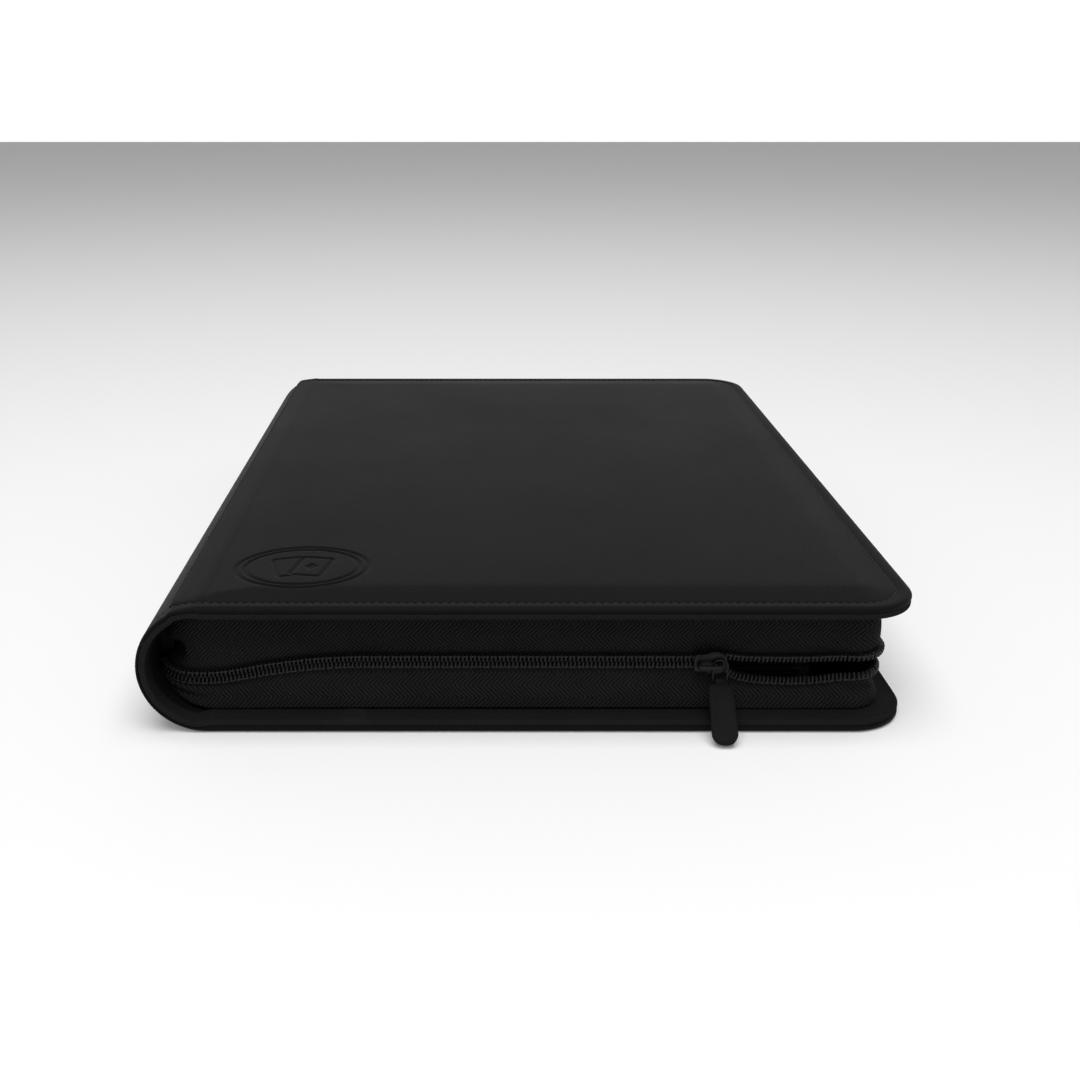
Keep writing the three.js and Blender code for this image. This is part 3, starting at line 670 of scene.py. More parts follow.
def item(name, points, faces):
    """A small mesh that is only copied, never shown by itself."""
    made = piece(name, points, faces, thread)
    bpy.context.scene.collection.objects.unlink(made)
    return made


STITCH_PITCH, STITCH_LENGTH, THREAD_WIDTH = 3.0, 2.2, 0.42
span = np.linspace(-1, 1, 6)
arch = np.stack([span * STITCH_LENGTH / 2, span * 0, 0.16 - 0.26 * span**4], -1)
swell = (1 - 0.55 * span**4)[:, None, None]
stitch_item = item("stitch", *tube(arch, round_section(THREAD_WIDTH, 0.3, 6)[None] * swell))
slanted = np.stack([arch[:, 0] * 0.6, arch[:, 0] * 0.8, arch[:, 2]], -1)
seam_item = item("seam_stitch", *tube(slanted, round_section(THREAD_WIDTH, 0.3, 6)[None] * swell))


def edge_path(side, first, last, inset, height, step=2.5):
    """Points along one end of the case, and which way its edge faces. side is -1 near and 1 far."""
    s = np.array(grid_lines(first, last, step))
    y = side * (HALF_LENGTH - inset) + 0 * s
    points = place(s, y, height(s) if callable(height) else height)
    return points, np.broadcast_to((0.0, side, 0.0), points.shape)


def cover_path(first, inset, height, back=False, step=2.5):
    """A path round three sides of a cover, from the spine's near end to its far end."""
    along = np.array(grid_lines(first, FLAT_LENGTH - CORNER_RADIUS, step))
    side = np.array(grid_lines(-HALF_LENGTH + CORNER_RADIUS, HALF_LENGTH - CORNER_RADIUS, step))[1:-1]
    turn = np.linspace(0, math.pi / 2, 14)[1:]
    reach = CORNER_RADIUS - inset
    s, y, out = [], [], []
    for end in (-1, 1):
        line = [(v, end * (HALF_LENGTH - inset), 0, end) for v in along]
        for a in turn:
            cs, sn = math.sin(a), math.cos(a)
            line.append(
                (
                    FLAT_LENGTH - CORNER_RADIUS + reach * cs,
                    end * (HALF_LENGTH - CORNER_RADIUS + reach * sn),
                    cs,
                    end * sn,
                )
            )
        if end < 0:
            line += [(FLAT_LENGTH - inset, v, 1, 0) for v in side]
        else:
            line = line[::-1]
        s += line
    s, y, ox, oy = np.array(s).T
    level = height(s) if callable(height) else height
    if back:
        s = -ARC_LENGTH - s
    points = place(s, y, level) + shoulder(s, y, inset)
    facing = np.stack([ox, oy, 0 * ox], -1)
    return (points[::-1], facing[::-1]) if back else (points, facing)


THREAD_DEPTH = -0.34
seam_y = np.linspace(-HALF_LENGTH + 7, HALF_LENGTH - 7, 60)


def seam_path(s):
    """A line of stitches along the spine; its points and the way across the sheet."""
    d = HALF_LENGTH - np.abs(seam_y)
    lines = [place(s + v, seam_y, 0) + shoulder(s + v + 0 * seam_y, seam_y, d) for v in (-0.4, 0, 0.4)]
    return lines[1], lines[2] - lines[0]




def end_stitches(first, last):
    near, far = (edge_path(e, first, last, STITCH_INSET, THREAD_DEPTH + 0.06) for e in (-1, 1))
    return [near, (far[0][::-1], far[1][::-1])]


upper_ends, lower_ends = end_stitches(3 * SEAM_S, SEAM_S), end_stitches(5 * SEAM_S, 3 * SEAM_S)
STITCHES = {
    "front_cover_stitches": ([cover_path(SEAM_S, STITCH_INSET, THREAD_DEPTH)], "front"),
    "upper_spine_stitches": (upper_ends, "upper"),
    "lower_spine_stitches": (lower_ends, "lower"),
    "back_cover_stitches": ([cover_path(SEAM_S, STITCH_INSET, THREAD_DEPTH + 0.06, True)], "back"),
}
for seed, (name, (paths, fold)) in enumerate(STITCHES.items()):
    paths = [(points, -facing) for points, facing in paths]
    made = repeated(name, paths, stitch_item, STITCH_PITCH, thread, 0.06, seed)
    bend(made, fold)
SEAMS = (("upper_seam", SEAM_S + 2, "front"), ("lower_seam", 5 * SEAM_S + 2, "lower"))
for seed, (name, s, fold) in enumerate(SEAMS):
    line, across = seam_path(s)
    made = repeated(name, [(line, -across)], seam_item, 2.0, thread, 0.08, seed)
    bend(made, fold)

# ---- Edge tape -------------------------------------------------------------------------------------
# A ribbed woven tape binds the inside of the case's edge all round. It shows as a band under the
# skin's rolled edge and as a ledge up to the gusset, and its two ends overlap at the near edge.
ribbed_tape = Finish("ribbed_tape", (0.012, 0.012, 0.0125), 0.85, specular=0.04)
warp = (ribbed_tape.along("Z", "Object") * 21).sine()
tape_noise, tape_blotch = ribbed_tape.noise(0.35), ribbed_tape.noise(25)
tape_share = warp * 0.15 + 0.2 + tape_noise * 0.3 + tape_blotch * 0.4
tape_dark, tape_pale = (0.0085, 0.0085, 0.0087), (0.0205, 0.0205, 0.0208)
ribbed_tape.set("Base Color", ribbed_tape.mix(tape_share, tape_dark, tape_pale))
ribbed_tape.set("Roughness", 0.78 + tape_noise * 0.16)
ribbed_tape.bump(warp * 0.4 + tape_noise, 0.05)
# The tape's section on the front cover, the spine and the back cover: inset and height.
TAPE = np.array(
    [
        # front, spine, back
        ((0.95, -1.98), (0.88, -1.40), (0.95, -2.72)),
        ((0.45, -2.02), (0.45, -1.42), (0.45, -2.76)),
        ((0.25, -2.25), (0.25, -1.60), (0.25, -2.95)),
        ((0.25, -3.95), (0.25, -3.30), (0.25, -4.65)),
        ((0.45, -4.22), (0.45, -3.60), (0.45, -4.92)),
        ((0.90, -4.30), (0.90, -3.68), (0.90, -5.00)),
        ((12.2, -4.30), (7.00, -3.68), (12.2, -5.00)),
        ((12.2, -2.55), (7.00, -2.75), (12.2, -3.20)),
        ((0.95, -2.55), (0.88, -2.75), (0.95, -3.20)),
    ]
)
# The tape's cut width on the front, spine and back: over the edge and across the ledge.
TAPE_WIDTHS = np.linalg.norm(np.diff(TAPE[:7], axis=0), axis=-1).sum(axis=0)
OVERLAP_X, OVERLAP_STEP = -66.0, 0.4


def s_of(points):
    """The case's own coordinate s of points on its outline."""
    x, z = points[:, 0] - HINGE_X, points[:, 2] - SPINE_RADIUS
    angle = np.arctan2(-x, z)
    return np.where(x >= 0, np.where(z > 0, x, -ARC_LENGTH - x), -SPINE_RADIUS * angle)


def tape_strip(path):
    """The tape's rings along a path on the outline."""
    points, facing = path
    s = s_of(points)
    weights = np.stack(part_weights(s), -1)
    section = np.einsum("nk,pkc->npc", weights, TAPE)
    on_near = (s < -ARC_LENGTH) & (points[:, 1] < -HALF_LENGTH + 1)
    over = on_near * smooth((points[:, 0] - OVERLAP_X) / 0.4) * smooth((OVERLAP_X + 9 - points[:, 0]) / 4)
    section[:, 2:6, 1] -= (over * OVERLAP_STEP)[:, None]
    section[:, 1:5, 0] -= (over * OVERLAP_STEP * 0.5)[:, None]
    flat = place(s, 0, 0)
    inward = place(s, 0, -1) - flat
    rings = points[:, None] - facing[:, None] * section[..., :1] - inward[:, None] * section[..., 1:]
    return rings.reshape(-1, 3), ring_faces(len(points), len(TAPE))


def merged(parts):
    """Several closed meshes as the points and faces of one."""
    points, faces, base = [], [], 0
    for some, more in parts:
        points.append(some)
        faces += [tuple(base + i for i in face) for face in more]
        base += len(some)
    return np.concatenate(points), faces


RIB_PITCH = 1.0
rib_path = [(0, 0, -0.95), (0, 0.02, 0), (0, 0, 0.85), (0, -0.2, 1.15), (0, -0.7, 1.24), (0, -2.6, 1.24)]
rib_section = np.array([(-0.3, -0.06), (0.3, -0.06), (0.0, 0.17)])
rib_ends = np.array([0.3, 1, 1, 1, 1, 0.2])[:, None, None]
rib_points, rib_faces = [], ring_faces(6, 3)
for (x, y, z), wide, over in zip(rib_path, rib_ends.ravel(), (0, 0, 0.15, 0.6, 1, 1)):
    for u, v in rib_section:
        # The rib stands out from the face first and then, round the corner, up from the ledge.
        rib_points.append((x + u, y + v * wide * (1 - over), z + v * wide * over))
rib_item = item("rib", rib_points, rib_faces)


def rib_level(s):
    front, spine, back = part_weights(s)
    return -3.06 * front - 2.44 * spine - 3.76 * back


TAPES = {
    "front_edge_tape": ([(False, SEAM_S)], "front", ["front_edge_band"]),
    "upper_spine_tape": ([(e, 3 * SEAM_S, SEAM_S) for e in (-1, 1)], "upper", []),
    "lower_spine_tape": ([(e, 5 * SEAM_S, 3 * SEAM_S) for e in (-1, 1)], "lower", []),
    "back_edge_tape": ([(True, SEAM_S)], "back", ["back_edge_band"]),
}
for name, (runs, fold, nodes) in TAPES.items():
    strips, ribs, length = [], [], 0.0
    for run in runs:
        if len(run) == 2:
            back = run[0]
            level = (lambda s: rib_level(-ARC_LENGTH - s)) if back else rib_level
            outline = cover_path(run[1], 0, 0, back, 1.5)
            ribs.append(cover_path(run[1], 0.25, level, back, 1.5))
        else:
            outline = edge_path(*run, 0, 0, 1.2)
            points, facing = edge_path(*run, 0.25, rib_level, 1.2)
            order = slice(None, None, -1) if run[0] > 0 else slice(None)
            ribs.append((points[order], facing[order]))
        strips.append(tape_strip(outline))
        length += np.linalg.norm(np.diff(outline[0], axis=0), axis=1).sum()
    made = piece(name, *merged(strips), ribbed_tape)
    bend(made, fold)
    if nodes:
        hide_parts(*nodes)
    if nodes:
        # On the spine the tape is 9.3 mm wide; here the tape's cut width on a cover and the length of its run
        # are worked out. On the spine the tape is 9.3 mm wide, which is narrower than a piece declared as a
        # sheet.
        cut = (float(TAPE_WIDTHS[0 if fold == "front" else 2]) * MM, float(length) * MM)
    made = repeated(name + "_ribs", ribs, rib_item, RIB_PITCH, ribbed_tape)
    bend(made, fold)

# ---- Lining ----------------------------------------------------------------------------------------
# A smooth black fabric is glued to the inside of the boards and runs round the spine in one piece,
# with its edges under the edge tape.
lining_cloth = Finish("lining_cloth", (0.009, 0.009, 0.0095), 0.9, specular=0.04)
over_under = (lining_cloth.along("X") * 9).sine() * (lining_cloth.along("Y") * 9).sine()
lining_blotch = lining_cloth.noise(40)
lining_share = over_under * 0.3 + lining_blotch * 0.7
lining_dark, lining_pale = (0.006, 0.006, 0.0064), (0.013, 0.013, 0.0135)
lining_cloth.set("Base Color", lining_cloth.mix(lining_share, lining_dark, lining_pale))
lining_cloth.set("Roughness", 0.82 + over_under * 0.08)
lining_cloth.bump(over_under, 0.04)
LINING_INSET, SPINE_LINING_INSET, LINING_CORNER = 12.5, 7.15, 8.5
across = np.linspace(-1, 1, 41)


def lining_grid(s):
    s = np.asarray(s, float)[:, None]
    front, spine, back = part_weights(s)
    inset = LINING_INSET * (front + back) + SPINE_LINING_INSET * spine
    fore = np.where(s > -ARC_LENGTH / 2, FLAT_LENGTH - s, FLAT_LENGTH + s + ARC_LENGTH) - LINING_INSET
    bite = np.clip(LINING_CORNER - fore, 0, LINING_CORNER)
    half = HALF_LENGTH - inset - LINING_CORNER + np.sqrt(LINING_CORNER**2 - bite**2)
    y = half * across
    top = -2.62 * front - 2.95 * spine - 3.28 * back
    under = -3.30 * front - 3.66 * spine - 3.98 * back
    points = np.stack([place(s + 0 * y, y, h + 0 * y) for h in (top, under)])
    uv = np.stack([s + 0 * y, y], -1)
    return points, np.stack([uv, uv])


last = FLAT_LENGTH - LINING_INSET
flat_part = [0, 3, 8, 20, 60, 100, 140, 180, 215]
flat_part += [last - v for v in (8.5, 6, 4, 2.5, 1.4, 0.6, 0.15, 0.01)]
fold_part = grid_lines(SEAM_S, 0, 1.6)
front_part = sorted(set(fold_part) | set(flat_part))
LININGS = {
    "front_lining_cloth": (front_part, "front", ["front_lining"]),
    "upper_spine_lining": (
        grid_lines(SEAM_S, 3 * SEAM_S, 1.6),
        "upper",
        ["upper_fold_lining", "spine_lining"],
    ),
    "lower_spine_lining": (grid_lines(3 * SEAM_S, 5 * SEAM_S, 1.6), "lower", ["lower_fold_lining"]),
    "back_lining_cloth": (sorted(-ARC_LENGTH - v for v in front_part), "back", ["back_lining"]),
}
for name, (lines, fold, nodes) in LININGS.items():
    points, uv = lining_grid(lines)
    made = piece(name, points, sheet_faces(len(lines), len(across)), lining_cloth, uv)
    bend(made, fold)
    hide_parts(*nodes)
    inset = SPINE_LINING_INSET if "spine" in name else LINING_INSET
    cut = ((max(lines) - min(lines)) * MM, 2 * (HALF_LENGTH - inset) * MM)

# ---- Gusset ----------------------------------------------------------------------------------------
# Wide black tape with a herringbone weave closes the near, fore and far sides. One wall is sewn to
# each cover inside the edge tape, the zip's two rows are sewn to their free edges, and both walls
# turn in at the spine, where the tape is limp and dips with the zip.
GUSSET_X, GUSSET_Y, GUSSET_CORNER = 127.6, 162.6, 9.0
GUSSET_END, GUSSET_BEND, GUSSET_TUCK = -133.8, -121.0, 11.0
GUSSET_WALL = 0.8
ZIP_Z, ROW_GAP = 23.5, 1.4
SLIDER_X, ROW_OPENS = 67.0, -1.0
STATION_STEP = 2.4

curl_x = [-133.7, -133.5, -133.2, -132.7, -132.0, -131.0]
near_x = np.array(grid_lines(GUSSET_END, GUSSET_X - GUSSET_CORNER, STATION_STEP, curl_x))
curl = np.clip((GUSSET_BEND - near_x) / (GUSSET_BEND - GUSSET_END), 0, 1)
turned_in = GUSSET_TUCK * (1 - np.sqrt(1 - 0.98 * curl**2))
near_line = np.stack([near_x, -GUSSET_Y + turned_in], -1)
turn = np.linspace(0, math.pi / 2, 9)[1:-1]
bend_line = np.stack(
    [
        GUSSET_X - GUSSET_CORNER + GUSSET_CORNER * np.sin(turn),
        -GUSSET_Y + GUSSET_CORNER - GUSSET_CORNER * np.cos(turn),
    ],
    -1,
)
fore_y = np.array(grid_lines(-GUSSET_Y + GUSSET_CORNER, GUSSET_Y - GUSSET_CORNER, STATION_STEP))
fore_line = np.stack([GUSSET_X + 0 * fore_y, fore_y], -1)
half_round = np.concatenate([near_line, bend_line])
gusset_line = np.concatenate([half_round, fore_line, half_round[::-1] * (1, -1)])
# The walls stand out a little along the fore edge, where the leaves push them.
fore_share = smooth((gusset_line[:, 0] - 112) / 16)
gusset_ahead = np.gradient(gusset_line, axis=0)
gusset_ahead /= np.linalg.norm(gusset_ahead, axis=1)[:, None]
gusset_out = np.stack([gusset_ahead[:, 1], -gusset_ahead[:, 0]], -1)
step_lengths = np.linalg.norm(np.diff(gusset_line, axis=0), axis=1)
gusset_s = np.concatenate([[0], np.cumsum(step_lengths)])
GUSSET_LENGTH = gusset_s[-1]
slider_s = np.interp(SLIDER_X, near_x, gusset_s[: len(near_x)])
corner_s = gusset_s[len(near_line) + len(bend_line) // 2]

# The closed zip dips beside the spine: how far along it is, and how far it hangs.
DIP = np.array([(-133, -4.6), (-130, -5.8), (-125, -6.5), (-117, -6.6), (-111, -6.2), (-105, -5.2)])
DIP = np.concatenate([DIP, [(-99, -4.0), (-93, -2.9), (-86, -1.9), (-78, -0.9), (-70, -0.3), (-62, 0)]])
dip_sizes = np.interp(gusset_line[:, 0], DIP[:, 0], DIP[:, 1])
dip = np.where(gusset_line[:, 1] < 0, dip_sizes, 0.45 * dip_sizes)

opened = smooth((gusset_s - slider_s - ROW_OPENS) / 3) * smooth((GUSSET_LENGTH - gusset_s) / 45)
# The open rows: distance past the slider, how far the lower row hangs and the upper row lifts.
MOUTH = [(0, 1.1, 1.1), (4, 1.1, 1.1), (6, 2.4, 0.9), (8, 4.0, 0.5), (11, 5.2, 0.1), (18, 6.3, -0.2)]
MOUTH += [(28, 6.9, -0.3), (38, 6.6, -0.2), (48, 5.2, 0.3), (60, 4.0, 1.1), (85, 3.0, 0.9)]
MOUTH = np.array(MOUTH)
past = gusset_s - slider_s
drop, lift = (np.interp(past, MOUTH[:, 0], MOUTH[:, i]) for i in (1, 2))
lower_z = ZIP_Z - ROW_GAP + dip - drop * opened
upper_z = ZIP_Z + ROW_GAP + dip + lift * opened


def spine_room(x, radius):
    """How far the inside of the rounded spine has risen from the cover's level at x."""
    past = np.minimum(np.maximum(HINGE_X - x, 0), radius)
    return radius - np.sqrt(radius**2 - past**2)


zip_tape = Finish("zip_tape", (0.009, 0.009, 0.0092), 0.88, specular=0.05)
STRIPE, TWILL_PITCH = 4.7, 1.65
zigzag = zip_tape.along("Y").maths("PINGPONG", STRIPE)
twill = ((zip_tape.along("X") + zigzag) * (2 * math.pi / TWILL_PITCH)).sine()
tape_fuzz, tape_shade = zip_tape.noise(0.4), zip_tape.noise(18)
twill_share = twill * 0.34 + 0.40 + tape_fuzz * 0.1 + (tape_shade - 0.5) * 0.3
zip_tape.set("Base Color", zip_tape.mix(twill_share, (0.0045, 0.0045, 0.0046), (0.0260, 0.0260, 0.0265)))
zip_tape.set("Roughness", 0.8 + twill * 0.08)
zip_tape.bump(twill + tape_fuzz * 0.3, 0.14)

x_line = gusset_line[:, 0]
at_end = smooth((GUSSET_END + 22 - x_line) / 20)
at_corner = np.exp(-(((gusset_s - corner_s) / 9) ** 2))


def belly(t, upper):
    """How far a wall stands out from its straight line. t runs from the cover to the zip."""
    g = gusset_s[:, None]
    wave = 0.30 * np.sin(g / 23 + 1.3) + 0.22 * np.sin(g / 9.7 + 3.1 * t) + 0.12 * np.sin(g / 5.1 - 4 * t)
    out = np.sin(math.pi * t) * (0.5 + wave)
    if upper:
        # A pocket is left above the zip's end, and the wall leans out along the fore edge.
        hollow = smooth((-123.5 - x_line) / 6)
        out = out - 5.5 * hollow[:, None] * np.exp(-(((t - 0.66) / 0.17) ** 2))
        out = out - 2.6 * (1 - t) ** 1.5
        return out + fore_share[:, None] * (1.2 + 2.6 * np.sin(math.pi * (0.15 + 0.6 * t)))
    # The lower wall spreads out onto the tape's ledge, where it is sewn down.
    out = out + 4.4 * (1 - t) ** 1.3 * (1 - 0.6 * at_end[:, None]) - 1.5 * (t == 0)
    roll = 1.9 * at_end[:, None] * np.exp(-(((t - 0.66) / 0.15) ** 2))
    pinch = -2.2 * at_corner[:, None] * np.exp(-(((t - 0.55) / 0.18) ** 2))
    crease = -1.6 * at_end[:, None] * np.exp(-(((t - 0.36) / 0.10) ** 2))
    return out + roll + pinch + crease + fore_share[:, None] * (0.4 + 1.6 * t)


wall_t = np.linspace(0, 1, 19)[None, :]
WALLS = {
    "lower_gusset_wall": (5.05 + spine_room(x_line, 20.2), lower_z, False, "back_cover", "lower"),
    "upper_gusset_wall": (45.6 - spine_room(x_line, 20.5), upper_z, True, "front_cover", "upper"),
}
row_out = {}
for name, (cover_z, row_z, upper, body, node) in WALLS.items():
    out = belly(wall_t, upper)
    row_out[node] = out[:, -1]
    z = cover_z[:, None] + (row_z - cover_z)[:, None] * wall_t
    layers = []
    for depth in (0, GUSSET_WALL):
        flat = gusset_line[:, None] + gusset_out[:, None] * (out - depth)[..., None]
        layers.append(np.concatenate([flat, z[..., None]], -1))
    uv = np.stack([gusset_s[:, None] + 0 * z, z], -1)
    made = piece(name, np.stack(layers), sheet_faces(*z.shape), zip_tape, np.stack([uv, uv]))
    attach(made, body)
    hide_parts(node + "_gusset", node + "_gusset_near_end", node + "_gusset_far_end")
    wide = float(np.max(np.abs(row_z - cover_z))) * MM
    cut = float(np.sum(np.abs(row_z - cover_z)) / len(row_z)) * GUSSET_LENGTH * MM * MM

# ---- Zip -------------------------------------------------------------------------------------------
# A moulded nylon coil zip. Each row is one filament wound in turns about 1.5 mm apart and sewn to
# the tape's edge, with its heads toward the other row, and metal stops at both ends.
COIL_PITCH, FILAMENT = 1.5, 0.74
coil_nylon = Finish("coil_nylon", (0.009, 0.009, 0.0093), 0.36, specular=0.22)
coil_grain = coil_nylon.noise(1.2)
coil_nylon.set("Base Color", coil_nylon.mix(coil_grain, (0.006, 0.006, 0.0062), (0.013, 0.013, 0.0133)))
coil_nylon.set("Roughness", 0.3 + coil_grain * 0.14)
coil_nylon.bump(coil_nylon.noise(0.3), 0.02)
TURN = [
    # along, toward the other row, out from the tape
    (-0.16, -1.15, 0.45),
    (-0.24, -1.22, 1.30),
    (-0.20, -0.85, 1.98),
    (-0.08, 0.20, 2.08),
    (0.00, 1.05, 1.90),
    (0.04, 1.52, 1.30),
    (0.10, 1.10, 0.66),
    (0.16, -0.40, 0.45),
]
turn_points = []
for i, (x, y, z) in enumerate(TURN):
    before, after = np.array(TURN[i - 1]), np.array(TURN[(i + 1) % len(TURN)])
    way = (after - before) / np.linalg.norm(after - before)
    side = np.cross(way, (1, 0, 0))
    side /= np.linalg.norm(side)
    fat = FILAMENT / 2
    for k in range(6):
        a = k * math.pi / 3
        round_x, round_side = fat * math.cos(a) * np.array([1.3, 0, 0]), fat * math.sin(a) * side
        turn_points.append(np.array([x, y, z]) + round_x + round_side)
coil_item = item("coil_turn", turn_points, ring_faces(len(TURN), 6, True))


def row_path(z, out, shift=0.0):
    where = np.linspace(2.2 + shift, GUSSET_LENGTH - 2.2, 700)
    flat = gusset_line + gusset_out * out[:, None]
    line = np.stack([np.interp(where, gusset_s, v) for v in (*flat.T, z)], -1)
    return line


COILS = {
    "lower_coil": ("lower", lower_z, 1, 0.0, "back_cover"),
    "upper_coil": ("upper", upper_z, -1, COIL_PITCH / 2, "front_cover"),
}
for name, (node, z, toward, shift, body) in COILS.items():
    line = row_path(z, row_out[node] + 0.05, shift)
    if toward < 0:
        line = line[::-1]
    made = repeated(name, [(line, (0.0, 0.0, toward))], coil_item, COIL_PITCH, coil_nylon)
    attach(made, body)
    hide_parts(node + "_zip_coil")
    # A line of lock stitches runs over the turns and holds them to the tape.
    sewn = row_path(z - toward * 0.62, row_out[node] + 2.22)[::toward]
    made = repeated(name + "_stitches", [(sewn, (0.0, 0.0, toward))], stitch_item, 2.6, thread, 0.03)
    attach(made, body)

black_metal = Finish("black_metal", (0.008, 0.008, 0.0083), 0.36, metallic=0.3, specular=0.25)
enamel, rub = black_metal.noise(3.5, 4), black_metal.noise(0.8)
black_metal.set("Base Color", black_metal.mix(enamel, (0.005, 0.005, 0.0051), (0.014, 0.014, 0.0143)))
black_metal.set("Roughness", 0.3 + enamel * 0.16)
black_metal.bump(rub, 0.02)


def stop_clip(where, z, out):
    """A bent metal clip over the last turns of a row."""
    spot = [np.interp(where, gusset_s, v) for v in (*(gusset_line + gusset_out * out[:, None]).T, z)]
    ahead = [np.interp(where, gusset_s, v) for v in gusset_ahead.T] + [0]
    outward = [np.interp(where, gusset_s, v) for v in gusset_out.T] + [0]
    spot, ahead, outward = (np.array(v, float) for v in (spot, ahead, outward))
    line = [spot + outward * o + np.array([0, 0, 1]) * u for o, u in CLIP_BEND]
    return tube(line, [(-1.0, -0.3), (1.0, -0.3), (1.0, 0.3), (-1.0, 0.3)], ahead)


CLIP_BEND = [(0.3, -1.45), (1.6, -1.55), (2.5, -1.2), (2.75, 0), (2.5, 1.2), (1.6, 1.55), (0.3, 1.45)]
STOPS = {
    "start_stop": (1.0, lower_z + 0.3, "lower", "zip_start_stop", "back_cover"),
    "lower_end_stop": (GUSSET_LENGTH - 1.0, lower_z, "lower", "lower_zip_end_stop", "back_cover"),
    "upper_end_stop": (GUSSET_LENGTH - 1.0, upper_z, "upper", "upper_zip_end_stop", "front_cover"),
}
for name, (where, z, row, node, body) in STOPS.items():
    points, faces = stop_clip(where, z, row_out[row])
    made = piece(name, points, faces, black_metal)
    rounding = made.modifiers.new("edges", "BEVEL")
    rounding.width, rounding.segments = 0.15 * MM, 2
    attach(made, body)
    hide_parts(node)

# ---- Slider and pull -------------------------------------------------------------------------------
# The slider is cast zinc in black enamel: a plate on each side of the zip joined at the nose, with
# flanges that hold the rows, and a bail. A wire loop hangs on the bail and carries a moulded tab.
GUSSET_FACE = np.array([SLIDER_X, -GUSSET_Y, ZIP_Z])
SLIDER_HALF, PLATE_INNER = 6.0, -2.7


def slider_outline(shrink=0.0):
    """Half widths along the slider: straight at the closed end, wide at the shoulder, then a nose."""
    x = np.array([-6.0, -5.0, -3.6, -2.5, -1.6, -0.6, 0.6, 1.8, 3.0, 4.1, 4.9, 5.5, 5.85, 6.0])
    w = np.array([3.05, 3.45, 3.45, 3.5, 3.7, 4.1, 4.45, 4.6, 4.5, 4.1, 3.5, 2.8, 2.1, 1.5])
    x, w = x * (SLIDER_HALF - shrink) / SLIDER_HALF, w - shrink
    return np.concatenate([np.stack([x, w], -1), np.stack([x[::-1], -w[::-1]], -1)])


def plate(levels):
    """A plate lying in X and Z, from its outlines at each depth."""
    rings = [[(x, y, z) for x, z in slider_outline(shrink)] for y, shrink in levels]
    return np.array(rings).reshape(-1, 3), ring_faces(len(levels), len(rings[0]))


front_levels = [(PLATE_INNER, 0.1), (-2.85, 0), (-3.45, 0), (-3.68, 0.12), (-3.83, 0.35), (-3.9, 0.75)]
front_levels += [(-3.96, 1.6), (-3.98, 2.4)]
back_levels = [(1.1, 0.1), (1.25, 0), (1.75, 0.05), (2.0, 0.3), (2.1, 0.8)]
flange_x = np.array([-5.9, -4.5, -2.5, -1.2, 0.2, 1.5])
flange_w = np.array([3.2, 3.2, 3.25, 3.6, 4.1, 4.32])
flanges = []
for side in (-1, 1):
    line = np.stack([flange_x, -1.75 + 0 * flange_x, side * flange_w], -1)
    flanges.append(tube(line, [(-0.25, -1.1), (0.25, -1.1), (0.25, 1.1), (-0.25, 1.1)], (0, 1, 0)))
divider_line = [(2.0, -2.8, 0), (2.0, 1.2, 0)]
divider = tube(divider_line, [(-0.1, -0.7), (3.4, -0.9), (3.4, 0.9), (-0.1, 0.7)], (0, 0, 1))
bail_path = [(3.35, -3.6), (3.38, -4.6), (3.35, -5.8), (3.1, -6.5), (2.5, -6.92), (1.4, -7.0), (-2.4, -7.0)]
bail_path += [(-3.5, -6.92), (-4.1, -6.5), (-4.35, -5.8), (-4.38, -4.6), (-4.35, -3.6)]
bail_line = [(x, y, 0) for x, y in bail_path]
bail_width = np.array([2.3, 1.75, 1.6, 1.5, 1.45, 1.4, 1.4, 1.45, 1.5, 1.6, 1.75, 2.3])
bail_height = np.array([2.4, 1.9, 1.8, 1.8, 1.8, 1.8, 1.8, 1.8, 1.8, 1.8, 1.9, 2.4])
squarish = np.array([(1, 0.5), (0.8, 0.9), (0.4, 1), (-0.4, 1), (-0.8, 0.9), (-1, 0.5)])
squarish = np.concatenate([squarish, -squarish]) / 2
bail_sections = squarish[None] * np.stack([bail_width, bail_height], -1)[:, None]
slider_parts = {
    "slider": (merged([plate(front_levels), plate(back_levels), *flanges, divider]), "slider_body"),
    "bail": (tube(bail_line, bail_sections), "slider_bail"),
}
for name, ((points, faces), node) in slider_parts.items():
    made = piece(name, points + GUSSET_FACE, faces, black_metal, sharp=50)
    if name == "bail":
        rounder = made.modifiers.new("rounder", "SUBSURF")
        rounder.levels = rounder.render_levels = 1
    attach(made, "slider")
    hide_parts(node)

SWING = GUSSET_FACE + (3.35, -5.1, 0)
LOOP_BOTTOM, WIRE = -6.4, 0.8
corners = [(0.4, -0.2, 2.2, 0), (-0.4, -0.2, 2.2, 1), (-1.2, -5.0, 1.4, 2), (1.2, -5.0, 1.4, 3)]
loop_line = []
for x, z, radius, quarter in corners:
    for a in (quarter + np.linspace(0, 1, 9)) * math.pi / 2:
        loop_line.append((x + radius * math.cos(a), 0, z + radius * math.sin(a)))
points, faces = tube(loop_line, round_section(WIRE, WIRE, 12), (0, 1, 0), True)
made = piece("pull_ring", points + SWING, faces, black_metal)
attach(made, "loop")
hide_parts("pull_loop")

tab_rubber = Finish("tab_rubber", (0.009, 0.009, 0.0092), 0.72, specular=0.08)
mould, dust = tab_rubber.noise(0.35, 2), tab_rubber.noise(9, 4, 0.65)
tab_share = mould * 0.35 + dust * 0.65
tab_rubber.set("Base Color", tab_rubber.mix(tab_share, (0.005, 0.005, 0.0051), (0.0125, 0.0125, 0.0128)))
tab_rubber.set("Roughness", 0.64 + dust * 0.16)
tab_rubber.bump(mould, 0.035)
TAB_LENGTH, TAB_THICK, TAB_TILT = 24.5, 2.4, math.radians(49.9)
RECESS, TAB_END = 0.22, 4.4


